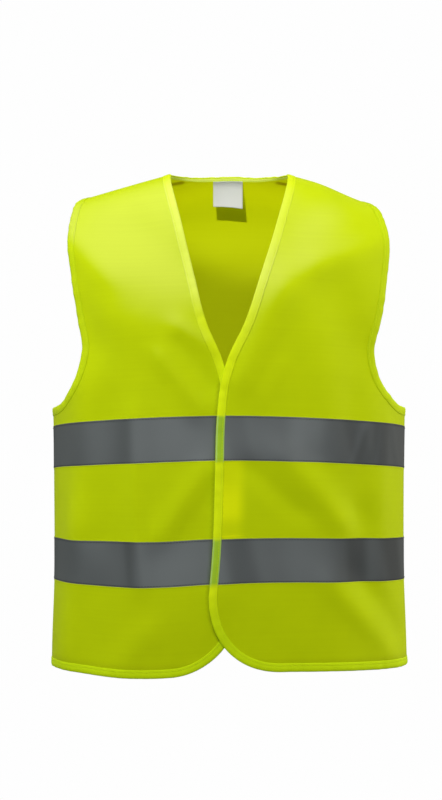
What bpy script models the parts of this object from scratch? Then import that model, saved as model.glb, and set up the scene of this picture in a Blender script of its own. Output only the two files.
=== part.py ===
"""A sleeveless safety vest, closed at the front and filled out with nobody in it.

The vest is cut flat. A point of the cut is given by how far it lies across from the middle of the front or
back and how far up from the hem. drape() bends the cut round a hollow figure and FOLDS push it in and out.
Whatever is sewn on is made from the points of the panel under it, moved out along the cloth's normals.

Metres, +Z up. The front faces -Y and the wearer's left is at +X. The origin lies midway between the shoulders,
level with the points where the neck edge meets the shoulder seams.
"""

import math

import bpy
import numpy as np
from mathutils import Vector
from mathutils.geometry import delaunay_2d_cdt

# The cut. The half width runs from the middle of the front or back to the side seam.
HALF_WIDTH = 0.280
CHEST_UP = 0.400  # above the hem: from here the cloth bends back to the shoulders
NECK_ACROSS = 0.072
SHOULDER_ACROSS = 0.180

# Cloth, gaps and what is sewn on.
PANEL_WALL = 0.0012
TRIM_WALL = 0.0010
GAP = 0.0003  # between pieces that lie on each other
SEAM_GAP = 0.0006  # between panels, and between what ends on them, at a seam
TRIM_LIFT = PANEL_WALL / 2 + GAP + TRIM_WALL / 2  # from the panel's middle to the middle of what lies on it
BINDING_WIDTH = 0.009
BINDING_BEYOND = GAP + TRIM_WALL / 2  # the binding's fold lies this far past the panel's edge
BAND_WIDTH = 0.050
LOWER_BAND_UP = 0.100
UPPER_BAND_UP = 0.237
HOOK_WIDTH = 0.020
LOOP_WIDTH = 0.012  # narrow enough to hide under the front that laps over it
CLOSURE_UP = 0.155
LABEL_ACROSS = (-0.018, 0.020)
LABEL_DROP = (0.033, 0.030)  # at the label's two sides, in the order of LABEL_ACROSS
LABEL_LIFT = TRIM_LIFT + GAP

# How far apart points lie: along edges and bands, and over the open cloth. Nearer than SAME is one point.
EDGE_STEP = 0.016
CLOTH_STEP = 0.022
SEAM_STEP = 0.006  # the least step along a shoulder seam, beside a binding
SPARE_STEP = 0.2  # a stretch this share of a step too long is not divided again
SAME = 1e-5

# The figure. Heights on the cut are metres above the hem.
HEM_LEVEL = -0.575
RING_EXPONENT = 2.35
SHOULDER_SLOPE = math.tan(math.radians(16.6))
SHOULDER_LEVEL = -0.0012  # the cloth's middle at the top of the neck edge
SHOULDER_SPREAD = 0.97  # how much of a distance across is left where the cloth lies on the shoulder
NECK_ROUNDING = 0.040
LEFT_TIP_ACROSS = (0.100, SHOULDER_ACROSS)  # the left shoulder's tip droops, more and more between these places
LEFT_TIP_RISE = (0.40, 1.00)  # and between these shares of the way up from the chest
LEFT_TIP_IN = 0.008
LEFT_TIP_DOWN = 0.005
DIP_POWER = 1.7
LAP_LIFT = 0.0024  # the left front is pushed out by this where it laps, the right one in
LAP_FLAT, LAP_END = 0.020, 0.078

SECTIONS = (
    # name, up, half width, front depth, back depth, dip at the side seams
    ("hem", 0.000, 0.2120, 0.120, 0.116, 0.0090),
    ("lower band", 0.125, 0.2085, 0.122, 0.118, 0.0080),
    ("upper band", 0.262, 0.2090, 0.127, 0.121, 0.0160),
    ("chest", CHEST_UP, 0.2120, 0.130, 0.125, 0.0180),
)

SAGS = (
    # name, girth, half width, drop at the hem, height where it ends
    ("right front", -0.100, 0.088, 0.0085, 0.300),
)

FRONT_EDGE = (
    # name, across, up; the shoulder point above them is worked out
    ("collarbone", 0.071, 0.590),
    ("upper V", 0.055, 0.510),
    ("middle V", 0.034, 0.440),
    ("lower V", 0.018, 0.392),
    ("crossing", -0.002, 0.349),
    ("below the crossing", -0.009, 0.325),
    ("upper band", -0.013, 0.294),
    ("closure", -0.016, 0.215),
    ("lower band", -0.019, 0.135),
    ("corner", -0.023, 0.088),
)
CORNER_ACROSS = 0.083
CORNER_EXPONENT = 2.2
SLIP = 0.011  # the right front has slipped this far back out of the lap,
SLIP_ACROSS = (0.020, 0.160)  # less and less between these places across,
SLIP_UP = (0.330, 0.560)  # and between these heights

FRONT_ARMHOLE = (
    # name, across, up; from the underarm to the shoulder tip, whose height is worked out
    ("underarm", HALF_WIDTH, 0.309),
    ("scoop", 0.210, 0.315),
    ("low", 0.187, 0.336),
    ("narrowest", 0.178, 0.365),
    ("chest", 0.188, 0.415),
    ("high", 0.195, 0.480),
    ("near the tip", 0.190, 0.550),
)

BACK_ARMHOLE = (
    ("underarm", HALF_WIDTH, 0.309),
    ("scoop", 0.222, 0.318),
    ("low", 0.197, 0.340),
    ("narrowest", 0.187, 0.375),
    ("chest", 0.190, 0.420),
    ("high", 0.195, 0.480),
    ("near the tip", 0.190, 0.550),
)

BACK_NECK = (
    # name, across, below the shoulder seam's line at the middle; half of the curve
    ("side", 0.060, 0.039),
    ("beside the middle", 0.038, 0.055),
    ("middle", 0.000, 0.059),
)

FOLDS = (
    # name, girth, up, girth, up, half width, height; girth runs round the body from the middle of the front
    ("right upper chest", -0.105, 0.505, -0.060, 0.470, 0.036, -0.0075),
    ("right chest, across", -0.130, 0.400, -0.070, 0.380, 0.028, 0.0022),
    ("right armhole, upper part", -0.190, 0.492, -0.145, 0.452, 0.020, 0.0035),
    ("right armhole", -0.172, 0.402, -0.160, 0.380, 0.022, -0.0040),
    ("left upper chest", 0.110, 0.560, 0.085, 0.515, 0.030, -0.0045),
    ("left chest, up to the armhole", 0.104, 0.460, 0.172, 0.488, 0.018, 0.0030),
    ("left chest, upper part", 0.096, 0.458, 0.066, 0.426, 0.018, 0.0018),
    ("left chest, along the V", 0.056, 0.428, 0.018, 0.335, 0.021, 0.0058),
    ("left armhole", 0.135, 0.410, 0.150, 0.375, 0.036, -0.0080),
    ("right below closure", -0.076, 0.162, -0.030, 0.222, 0.016, 0.0035),
    ("left of the closure", 0.066, 0.240, 0.128, 0.172, 0.016, 0.0030),
    ("left of the closure, beyond", 0.112, 0.240, 0.158, 0.180, 0.017, -0.0018),
    ("left side, through the bands", 0.146, 0.310, 0.164, 0.110, 0.020, -0.0034),
    ("left hip", 0.122, 0.096, 0.196, 0.020, 0.016, 0.0026),
    ("beside the left hip", 0.156, 0.108, 0.216, 0.046, 0.016, -0.0024),
    ("right side ridge, upper part", -0.178, 0.320, -0.184, 0.160, 0.026, 0.0052),
    ("right side ridge", -0.186, 0.160, -0.204, 0.030, 0.026, 0.0048),
    ("right side, through the bands", -0.140, 0.300, -0.142, 0.160, 0.022, -0.0020),
    ("right corner", -0.060, 0.005, -0.035, 0.010, 0.028, -0.0020),
    ("right hem wave", -0.130, 0.010, -0.098, 0.045, 0.018, 0.0018),
    ("back, left blade", 0.470, 0.430, 0.395, 0.300, 0.030, -0.0045),
    ("back, right blade", -0.465, 0.425, -0.400, 0.310, 0.030, -0.0040),
    ("back, across the shoulders", 0.500, 0.475, 0.610, 0.450, 0.022, 0.0030),
    ("back, middle", 0.560, 0.330, 0.548, 0.110, 0.045, -0.0050),
    ("back, left waist", 0.440, 0.240, 0.455, 0.000, 0.030, 0.0045),
    ("back, right waist", -0.470, 0.220, -0.440, 0.000, 0.032, 0.0045),
    ("back, left hip", 0.395, 0.098, 0.340, 0.020, 0.018, 0.0035),
    ("back, right crease", -0.372, 0.230, -0.425, 0.168, 0.018, 0.0035),
    ("left side seam", 0.300, 0.210, 0.320, 0.030, 0.030, -0.0035),
    ("right side seam", -0.310, 0.230, -0.300, 0.020, 0.030, -0.0035),
)
FOLD_FADE = 0.75  # folds die away over the last part of the way up to the shoulder seam

COLOURS = {
    # material: (red, green, blue, roughness), linear
    "hi_vis_fabric": (0.52, 0.68, 0.01, 0.85),
    "binding_tape": (0.58, 0.78, 0.02, 0.75),
    "reflective_tape": (0.17, 0.18, 0.18, 0.45),
    "hook_and_loop": (0.60, 0.72, 0.02, 0.95),
    "label_fabric": (0.75, 0.75, 0.74, 0.80),
}


class QuarterArc:
    """A quarter of a superellipse, as points at equal shares of its length: from (1, 0) out to (0, 1) up."""

    def __init__(self, exponent, out, up, count=2001):
        angle = np.linspace(0, math.pi / 2, count)
        self.out = np.abs(np.cos(angle)) ** (2 / exponent)
        self.up = np.abs(np.sin(angle)) ** (2 / exponent)
        steps = np.hypot(np.diff(self.out * out), np.diff(self.up * up))
        length = np.concatenate([[0], np.cumsum(steps)])
        self.share = length / length[-1]
        self.stretch = length[-1] / math.hypot(out, up)  # its length for each metre of its chord

    def at(self, share):
        return np.interp(share, self.share, self.out), np.interp(share, self.share, self.up)


RING = QuarterArc(RING_EXPONENT, 0.125, 0.210)  # from the middle of the front or back to the side seam


class Side:
    """The figure's front or back half: its depth, how it bends to the shoulders and where its girth starts."""

    def __init__(self, column, facing, exponent, girth):
        self.column, self.facing, self.girth = column, facing, girth
        self.profile = QuarterArc(exponent, 0.125, 0.180)


FRONT = Side(3, 1, 2.0, 0.0)
BACK = Side(4, -1, 3.0, 2 * HALF_WIDTH)


def smoothstep(low, high, value):
    share = np.clip((value - low) / (high - low), 0, 1)
    return share * share * (3 - 2 * share)


def section(column, up):
    """A column of SECTIONS at these heights, eased from row to row."""
    value = np.full(np.shape(up), SECTIONS[0][column], float)
    for lower, upper in zip(SECTIONS, SECTIONS[1:]):
        value += (upper[column] - lower[column]) * smoothstep(lower[1], upper[1], up)
    return value


def chest_to_shoulder(side, across):
    """At the chest: place across, depth, height. Then the shoulder's height and the cloth's length up to it."""
    share = np.clip(np.abs(across) / HALF_WIDTH, 0, 1)
    depth, width = RING.at(share)
    depth = depth * section(side.column, CHEST_UP)
    chest = HEM_LEVEL + CHEST_UP - section(5, CHEST_UP) * share**DIP_POWER
    seat = SHOULDER_SPREAD * np.abs(across)
    neck = SHOULDER_SPREAD * NECK_ACROSS
    fall = np.hypot(seat, NECK_ROUNDING) - np.hypot(neck, NECK_ROUNDING)
    top = SHOULDER_LEVEL - SHOULDER_SLOPE * fall
    length = side.profile.stretch * np.hypot(depth, top - chest)
    return width * section(2, CHEST_UP), depth, chest, top, length


def shoulder_up(side, across):
    """How far up the cut the shoulder seam lies."""
    return CHEST_UP + chest_to_shoulder(side, across)[4]


def drape(side, across, up):
    """The cut on the figure, without folds."""
    across = np.clip(across, SEAM_GAP / 2 - HALF_WIDTH, HALF_WIDTH - SEAM_GAP / 2)
    share = np.abs(across) / HALF_WIDTH
    low = np.minimum(up, CHEST_UP)
    depth_share, width_share = RING.at(share)
    x = width_share * section(2, low)
    y = depth_share * section(side.column, low)
    z = HEM_LEVEL + low - section(5, low) * share**DIP_POWER
    chest_x, chest_y, chest, top, length = chest_to_shoulder(side, across)
    rise = np.clip((up - CHEST_UP) / length, 0, 1 - SEAM_GAP / 2 / length)
    back, raised = side.profile.at(rise)
    above = up > CHEST_UP
    seat = SHOULDER_SPREAD * np.abs(across)
    x = np.where(above, chest_x + (seat - chest_x) * smoothstep(0, 1, rise), x)
    y = np.where(above, chest_y * back, y)
    z = np.where(above, chest + (top - chest) * raised, z)
    droop = smoothstep(*LEFT_TIP_ACROSS, side.facing * across) * smoothstep(*LEFT_TIP_RISE, rise)
    x, z = x - LEFT_TIP_IN * droop, z - LEFT_TIP_DOWN * droop
    if side is FRONT:
        for _, girth, half_width, drop, end in SAGS:
            z = z - drop * np.exp(-(((across - girth) / half_width) ** 2)) * (1 - smoothstep(0, end, up))
    return np.stack([side.facing * np.sign(across) * x, -side.facing * y, z], axis=-1)


def normals_of(surface, side, across, up, reach=0.0008):
    """Unit normals, facing out. Beside a seam they are read just inside it."""
    across = np.clip(across, reach - HALF_WIDTH, HALF_WIDTH - reach)
    up = np.minimum(up, shoulder_up(side, across) - reach)
    along = surface(side, across + reach, up) - surface(side, across - reach, up)
    upward = surface(side, across, up + reach) - surface(side, across, up - reach)
    normal = np.cross(along, upward)
    return normal / np.linalg.norm(normal, axis=-1, keepdims=True)


def fold_height(side, across, up):
    """How far the folds push the cloth out."""
    whole = 4 * HALF_WIDTH
    total = np.zeros(np.shape(across))
    for _, girth, height, end_girth, end_height, half_width, push in FOLDS:
        over = (across + side.girth - girth + whole / 2) % whole - whole / 2
        run = np.array([end_girth - girth, end_height - height])
        length = np.hypot(*run)
        run = run / length
        along = over * run[0] + (up - height) * run[1]
        beside = over * run[1] - (up - height) * run[0]
        past = np.maximum(np.maximum(-along, along - length), 0)
        total += push * np.exp(-((beside / half_width) ** 2) - (past / (1.5 * half_width)) ** 2)
    rise = (up - CHEST_UP) / (shoulder_up(side, across) - CHEST_UP)
    return total * (1 - smoothstep(FOLD_FADE, 1, rise))


class Panel:
    """A cut piece: its side of the figure and how far it is pushed out where the fronts lap."""

    def __init__(self, name, side, lap):
        self.name, self.side, self.lap = name, side, lap

    def surface(self, side, across, up):
        push = fold_height(side, across, up)
        push = push + self.lap * (1 - smoothstep(LAP_FLAT, LAP_END, np.abs(across)))
        return drape(side, across, up) + push[..., None] * normals_of(drape, side, across, up)

    def points(self, flat, lift=0.0):
        """Places on the cloth's middle surface for points of the cut, moved out by lift."""
        across, up = np.asarray(flat, float).T
        if self.lap < 0:
            slipped = 1 - smoothstep(*SLIP_ACROSS, np.abs(across))
            across = across - SLIP * slipped * (1 - smoothstep(*SLIP_UP, up))
        normal = normals_of(self.surface, self.side, across, up)
        return self.surface(self.side, across, up) + lift * normal


def smooth_line(points, step=0.001):
    """A curve through the points, as close points: cubic pieces that share their slopes."""
    points = np.array(points, float)
    knots = np.concatenate([[0], np.cumsum(np.hypot(*np.diff(points, axis=0).T))])
    slopes = np.gradient(points, knots, axis=0)
    places = np.linspace(0, knots[-1], max(2, round(knots[-1] / step) + 1))
    row = np.clip(np.searchsorted(knots, places, side="right") - 1, 0, len(knots) - 2)
    span = (knots[row + 1] - knots[row])[:, None]
    t = (places - knots[row])[:, None] / span
    start = (1 + 2 * t) * (1 - t) ** 2 * points[row] + t * (1 - t) ** 2 * span * slopes[row]
    end = t * t * (3 - 2 * t) * points[row + 1] - t * t * (1 - t) * span * slopes[row + 1]
    return start + end


def lengths_along(line):
    return np.concatenate([[0], np.cumsum(np.hypot(*np.diff(line, axis=0).T))])


def read_at(line, places, along):
    """Points of a line at these places, given the places of its own points."""
    return np.stack([np.interp(places, along, line[:, i]) for i in (0, 1)], axis=1)


def fill_between(marks, step):
    """The marks, with even steps of at most this size between them."""
    places = [marks[0]]
    for start, end in zip(marks, marks[1:]):
        count = max(1, math.ceil(abs(end - start) / step - SPARE_STEP))
        places += [start + (end - start) * (i + 1) / count for i in range(count)]
    return np.array(places)


def inset(line, distance):
    """The line moved to its left."""
    run = np.gradient(line, axis=0)
    run /= np.hypot(*run.T)[:, None]
    return line + distance * np.stack([-run[:, 1], run[:, 0]], axis=1)


def on_seam(line, end, seam, distance):
    """The point of a seam, which leaves the line at its end along seam, that lies this far in from the line."""
    run = line[1] - line[0] if end == 0 else line[-1] - line[-2]
    run = run / np.hypot(*run)
    seam = np.array(seam) / np.hypot(*seam)
    return line[end] + seam * distance / (run[0] * seam[1] - run[1] * seam[0])


class BoundEdge:
    """A stretch of the outline under a binding: the edge, the binding's inner line and its outer fold."""

    def __init__(self, line, seams, levels=()):
        within, beyond = inset(line, BINDING_WIDTH), inset(line, -BINDING_BEYOND)
        along = lengths_along(line)
        marks = [0, along[-1]]
        for level in levels:
            above = within[:, 1] - level
            for i in np.flatnonzero(np.diff(np.sign(above))):
                marks.append(along[i] + (along[i + 1] - along[i]) * above[i] / (above[i] - above[i + 1]))
        places = fill_between(sorted(marks), EDGE_STEP)
        self.edge = read_at(line, places, along)
        self.within = read_at(within, places, along)
        self.beyond = read_at(beyond, places, along)
        for end, seam in zip((0, -1), seams):
            self.within[end] = on_seam(line, end, seam, BINDING_WIDTH)
            self.beyond[end] = on_seam(line, end, seam, -BINDING_BEYOND)
        self.fine_edge, self.fine_within = line, within

    def zone(self):
        return np.concatenate([self.edge, self.within[::-1]])

    def mirrored(self):
        """The same stretch on the other half of a cut that is the same on both."""
        other = BoundEdge.__new__(BoundEdge)
        for part in ("edge", "within", "beyond", "fine_edge", "fine_within"):
            setattr(other, part, getattr(self, part)[::-1] * (-1, 1))
        return other


def inside(outline, points):
    """Which points lie inside a closed outline."""
    odd = np.zeros(len(points), bool)
    for (x0, y0), (x1, y1) in zip(outline, np.roll(outline, -1, axis=0)):
        crosses = (y0 > points[:, 1]) != (y1 > points[:, 1])
        if y0 != y1:
            odd ^= crosses & (points[:, 0] < x0 + (points[:, 1] - y0) * (x1 - x0) / (y1 - y0))
    return odd


def triangulate(outline, lines):
    """The flat cloth inside an outline as points and triangles, with triangle sides along the lines."""
    fixed = np.concatenate([outline, *lines])
    low, high = outline.min(axis=0), outline.max(axis=0)
    rise = CLOTH_STEP * math.sqrt(3) / 2
    loose = []
    for row, up in enumerate(np.arange(low[1] + rise / 2, high[1], rise)):
        start = low[0] + CLOTH_STEP * (0.25 + 0.5 * (row % 2))
        loose += [(across, up) for across in np.arange(start, high[0], CLOTH_STEP)]
    loose = np.array(loose)
    nearest = np.array([np.hypot(*(fixed - point).T).min() for point in loose])
    loose = loose[(nearest > 0.6 * CLOTH_STEP) & inside(outline, loose)]
    count = len(outline)
    edges = [(i, (i + 1) % count) for i in range(count)]
    for line in lines:
        edges += [(count + i, count + i + 1) for i in range(len(line) - 1)]
        count += len(line)
    corners = [Vector(point) for point in np.concatenate([fixed, loose])]
    points, _, faces, *_ = delaunay_2d_cdt(corners, edges, [], 1, 1e-6)
    return np.array([tuple(point) for point in points]), np.array(faces)


class Cut:
    """A flat piece of cloth: its triangles, its bound edges, and where bands and closure lie on it."""

    def __init__(self, outline, bound, band_lines, closure=None):
        self.bound, self.closure = bound, closure
        lines = [edge.within for edge in bound] + band_lines
        if closure is not None:
            lines.append(closure["line"])
        self.flat, self.faces = triangulate(outline, lines)
        self.middles = self.flat[self.faces].mean(axis=1)

    def mirrored(self):
        other = Cut.__new__(Cut)
        other.flat = self.flat * (-1, 1)
        other.faces = self.faces[:, ::-1]
        other.middles = self.middles * (-1, 1)
        other.bound = [edge.mirrored() for edge in self.bound]
        other.closure = {part: line * (-1, 1) for part, line in self.closure.items()}
        return other

    def on_binding(self):
        found = np.zeros(len(self.faces), bool)
        for edge in self.bound:
            found |= inside(edge.zone(), self.middles)
        return found

    def band_faces(self, low):
        up = self.middles[:, 1]
        return self.faces[(up > low) & (up < low + BAND_WIDTH) & ~self.on_binding()]


def parts_of(faces):
    """The points that some triangles use, and the triangles numbered by them."""
    used, numbered = np.unique(faces, return_inverse=True)
    return used, numbered.reshape(-1, 3)


def band_levels():
    return [low + rise for low in (LOWER_BAND_UP, UPPER_BAND_UP) for rise in (0, BAND_WIDTH)]


def shoulder_line(side, start, end):
    """The shoulder seam on the cut, between two places across."""
    across = fill_between([start, end], EDGE_STEP)
    return np.stack([across, shoulder_up(side, across)], axis=1)


def seam_run(side, across, toward):
    """The way the shoulder seam leaves one of its ends."""
    near = across + SAME * np.sign(toward - across)
    return (near - across, shoulder_up(side, near) - shoulder_up(side, across))


def armhole_edge(side, table):
    rows = [row[1:] for row in table] + [(SHOULDER_ACROSS, shoulder_up(side, SHOULDER_ACROSS))]
    seams = ((0, -1), seam_run(side, SHOULDER_ACROSS, 0))
    return BoundEdge(smooth_line(rows), seams)


def side_seam(lowest, highest):
    """The side seam on the cut: lowest and highest are where the bindings' edges and inner lines meet it."""
    marks = sorted([*lowest[:, 1], *highest[:, 1], *band_levels()])
    up = fill_between(marks, EDGE_STEP)
    return np.stack([np.full(len(up), HALF_WIDTH), up], axis=1)


def front_cut(closure_width):
    """The left front. The right one is its mirror image."""
    top = (NECK_ACROSS, shoulder_up(FRONT, NECK_ACROSS))
    neck_and_front = smooth_line([top] + [row[1:] for row in FRONT_EDGE])
    _, corner_x, corner_up = FRONT_EDGE[-1]
    angle = np.linspace(0, math.pi / 2, 80)[1:]
    corner = np.stack(
        [
            corner_x + CORNER_ACROSS * (1 - np.cos(angle) ** (2 / CORNER_EXPONENT)),
            corner_up * (1 - np.sin(angle) ** (2 / CORNER_EXPONENT)),
        ],
        axis=1,
    )
    hem = smooth_line([corner[-1], (HALF_WIDTH, 0.0)])[1:]
    edge = BoundEdge(
        np.concatenate([neck_and_front, corner, hem]),
        (seam_run(FRONT, NECK_ACROSS, SHOULDER_ACROSS), (0, 1)),
        band_levels() + [CLOSURE_UP],
    )
    armhole = armhole_edge(FRONT, FRONT_ARMHOLE)
    lower_ends = np.array([edge.edge[-1], edge.within[-1]])
    upper_ends = np.array([armhole.within[0], armhole.edge[0]])
    seam = side_seam(lower_ends, upper_ends)
    shoulder = shoulder_line(FRONT, SHOULDER_ACROSS, NECK_ACROSS)
    shoulder = with_ends_within(shoulder, armhole.within[-1], edge.within[0], FRONT)
    outline = np.concatenate([edge.edge, seam[1:], armhole.edge[1:], shoulder[1:-1]])
    bands = [band_line(edge.within, level) for level in band_levels()]
    closure = closure_place(edge, closure_width)
    return Cut(outline, [edge, armhole], bands, closure)


def with_ends_within(shoulder, first, last, side):
    """A shoulder seam whose second and last but one points are where the bindings' inner lines meet it."""
    step = np.sign(last[0] - first[0])
    between = shoulder[(shoulder[:, 0] - first[0]) * step > SEAM_STEP]
    between = between[(last[0] - between[:, 0]) * step > SEAM_STEP]
    ends = [np.array([point[0], shoulder_up(side, point[0])]) for point in (first, last)]
    return np.concatenate([shoulder[:1], [ends[0]], between, [ends[1]], shoulder[-1:]])


def band_line(within, level):
    """A band's edge on a front, from the binding to the side seam."""
    beside = within[within[:, 0] < CORNER_ACROSS]
    start = beside[np.argmin(np.abs(beside[:, 1] - level))]
    across = fill_between([start[0], HALF_WIDTH], CLOTH_STEP)
    return np.stack([across, np.full(len(across), level)], axis=1)


def closure_place(edge, width):
    """Where the closure patch lies on a front: beside the binding, from just above one band up to the next."""
    beside = edge.within[edge.within[:, 0] < CORNER_ACROSS]
    beside = beside[(beside[:, 1] > CLOSURE_UP - SAME) & (beside[:, 1] < UPPER_BAND_UP + SAME)]
    far = beside + (width, 0)
    return {"line": np.concatenate([beside[-1:], far[::-1]]), "beside": beside, "far": far}


def back_cut():
    hem = BoundEdge(smooth_line([(-HALF_WIDTH, 0.0), (HALF_WIDTH, 0.0)]), ((0, 1), (0, 1)))
    armhole = armhole_edge(BACK, BACK_ARMHOLE)
    other = armhole.mirrored()
    middle_up = shoulder_up(BACK, 0.0)
    half = [(NECK_ACROSS, shoulder_up(BACK, NECK_ACROSS))]
    half += [(across, middle_up - below) for _, across, below in BACK_NECK]
    curve = smooth_line(half + [(-across, up) for across, up in half[-2::-1]])
    seams = (
        seam_run(BACK, NECK_ACROSS, SHOULDER_ACROSS),
        seam_run(BACK, -NECK_ACROSS, -SHOULDER_ACROSS),
    )
    neck = BoundEdge(curve, seams)
    lower_ends = np.array([hem.edge[-1], hem.within[-1]])
    upper_ends = np.array([armhole.within[0], armhole.edge[0]])
    seam = side_seam(lower_ends, upper_ends)
    shoulder = shoulder_line(BACK, SHOULDER_ACROSS, NECK_ACROSS)
    shoulder = with_ends_within(shoulder, armhole.within[-1], neck.within[0], BACK)
    outline = np.concatenate(
        [
            hem.edge,
            seam[1:],
            armhole.edge[1:],
            shoulder[1:-1],
            neck.edge,
            (shoulder[1:-1] * (-1, 1))[::-1],
            other.edge,
            (seam[1:-1] * (-1, 1))[::-1],
        ]
    )
    across = fill_between([-HALF_WIDTH, HALF_WIDTH], CLOTH_STEP)
    bands = [np.stack([across, np.full(len(across), level)], axis=1) for level in band_levels()]
    return Cut(outline, [hem, armhole, neck, other], bands)


def material(name):
    *colour, roughness = COLOURS[name]
    made = bpy.data.materials.get(name)
    if made is None:
        made = bpy.data.materials.new(name)
        made.use_nodes = True
        shader = made.node_tree.nodes["Principled BSDF"]
        shader.inputs["Base Color"].default_value = (*colour, 1)
        shader.inputs["Roughness"].default_value = roughness
        made.diffuse_color = (*colour, 1)
    return made


def cloth(name, points, faces, wall, finish):
    """One piece of cloth: a surface given its thickness on both sides."""
    mesh = bpy.data.meshes.new(name)
    mesh.from_pydata([tuple(point) for point in points], [], [tuple(map(int, face)) for face in faces])
    mesh.materials.append(material(finish))
    mesh.shade_smooth()
    piece = bpy.data.objects.new(name, mesh)
    thickness = piece.modifiers.new("wall", "SOLIDIFY")
    thickness.thickness = wall
    thickness.offset = 0
    thickness.use_even_offset = True
    bpy.data.collections["Safety vest"].objects.link(piece)
    return piece


def make_panel(panel, cut):
    cloth(panel.name, panel.points(cut.flat), cut.faces, PANEL_WALL, "hi_vis_fabric")


def make_binding(name, panel, cut, edge):
    """A strip folded over an edge: an outer leg, an inner leg and the fold between them, one surface."""
    faces = cut.faces[inside(edge.zone(), cut.middles)]
    used, faces = parts_of(faces)
    flat = cut.flat[used]
    on_edge = []
    for place, fold in zip(edge.edge, edge.beyond):
        index = np.argmin(np.hypot(*(flat - place).T))
        on_edge.append(index)
        flat[index] = fold
    rest = np.setdiff1d(np.arange(len(flat)), on_edge)
    for index in rest:
        near = np.argmin(np.hypot(*(edge.within - flat[index]).T))
        away = edge.beyond[near] - edge.within[near]
        flat[index] += GAP * away / np.hypot(*away)
    count = len(flat)
    points = np.concatenate([panel.points(flat, TRIM_LIFT), panel.points(flat, -TRIM_LIFT)])
    fold = [(b, a, a + count, b + count) for a, b in zip(on_edge, on_edge[1:])]
    cloth(name, points, [*faces, *(faces[:, ::-1] + count), *fold], TRIM_WALL, "binding_tape")


def make_band(name, panel, cut, low):
    used, faces = parts_of(cut.band_faces(low))
    cloth(name, panel.points(cut.flat[used], TRIM_LIFT), faces, TRIM_WALL, "reflective_tape")


def make_closure(name, panel, cut, lift):
    """One side of the closure, clear of the binding beside it and the band above it."""
    beside, far = cut.closure["beside"], cut.closure["far"]
    used, faces = parts_of(cut.faces[inside(np.concatenate([beside, far[::-1]]), cut.middles)])
    flat = cut.flat[used]
    at_binding = np.array([np.hypot(*(beside - point).T).min() < SAME for point in flat])
    flat[at_binding, 0] += GAP * np.sign(far[0, 0] - beside[0, 0])
    flat[flat[:, 1] > UPPER_BAND_UP - SAME, 1] -= GAP
    cloth(name, panel.points(flat, lift), faces, TRIM_WALL, "hook_and_loop")


def make_label(panel, neck, columns=7, rows=9, turning_rows=2.5):
    """A bare label sewn under the back neck binding. It leaves the binding along the cloth and turns down."""
    across = np.linspace(*LABEL_ACROSS, columns)
    line = neck.fine_within[np.argsort(neck.fine_within[:, 0])]
    up = np.interp(across, line[:, 0], line[:, 1]) - 2 * GAP
    start = np.stack([across, up], axis=1)
    place = panel.points(start, -LABEL_LIFT)
    leaving = panel.points(start - (0, GAP), -LABEL_LIFT) - place
    leaving /= np.linalg.norm(leaving, axis=1, keepdims=True)
    drop = np.interp(across, LABEL_ACROSS, LABEL_DROP)[:, None] / (rows - 1)
    grid = [place]
    for row in range(rows - 1):
        turn = min(1, (row + 0.5) / turning_rows)
        heading = leaving * (1 - turn) + np.array([0, 0, -1]) * turn
        grid.append(grid[-1] + drop * heading / np.linalg.norm(heading, axis=1, keepdims=True))
    faces = []
    for row in range(rows - 1):
        for column in range(columns - 1):
            a = row * columns + column
            faces.append((a, a + columns, a + columns + 1, a + 1))
    cloth("neck_label", np.concatenate(grid), faces, TRIM_WALL, "label_fabric")


def clear_scene():
    for thing in list(bpy.data.objects):
        bpy.data.objects.remove(thing, do_unlink=True)


def main():
    clear_scene()
    bpy.context.scene.collection.children.link(bpy.data.collections.new("Safety vest"))
    cuts = {"left": front_cut(HOOK_WIDTH), "right": front_cut(LOOP_WIDTH).mirrored()}
    fronts = {
        "left": Panel("front_panel_left", FRONT, LAP_LIFT),
        "right": Panel("front_panel_right", FRONT, -LAP_LIFT),
    }
    for hand, panel in fronts.items():
        cut = cuts[hand]
        edge, armhole = cut.bound
        make_panel(panel, cut)
        make_binding(f"front_binding_{hand}", panel, cut, edge)
        make_binding(f"armhole_binding_front_{hand}", panel, cut, armhole)
        make_band(f"lower_band_{hand}", panel, cut, LOWER_BAND_UP)
        make_band(f"upper_band_{hand}", panel, cut, UPPER_BAND_UP)
    make_closure("closure_hook", fronts["left"], cuts["left"], -TRIM_LIFT)
    make_closure("closure_loop", fronts["right"], cuts["right"], TRIM_LIFT)

    back, cut = Panel("back_panel", BACK, 0.0), back_cut()
    hem, armhole_right, neck, armhole_left = cut.bound
    make_panel(back, cut)
    make_binding("back_hem_binding", back, cut, hem)
    make_binding("back_neck_binding", back, cut, neck)
    make_binding("armhole_binding_back_right", back, cut, armhole_right)
    make_binding("armhole_binding_back_left", back, cut, armhole_left)
    make_band("lower_band_back", back, cut, LOWER_BAND_UP)
    make_band("upper_band_back", back, cut, UPPER_BAND_UP)
    make_label(back, neck)


main()
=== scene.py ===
"""The looks of a safety vest: fluorescent knit, folded bindings, grey reflective bands and a bare neck label.

A point of the cut is given by how far it lies across from the middle of the front or back and how far up from
the hem. drape() bends the cut round a hollow figure, FOLDS and CREASES push it in and out, and every piece is
made from points of the cut, moved out along the cloth's normals. Metres, +Z up, the front faces -Y.
"""

import math

import bpy
import numpy as np
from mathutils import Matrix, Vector
from mathutils.geometry import delaunay_2d_cdt
from mathutils.kdtree import KDTree

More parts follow.
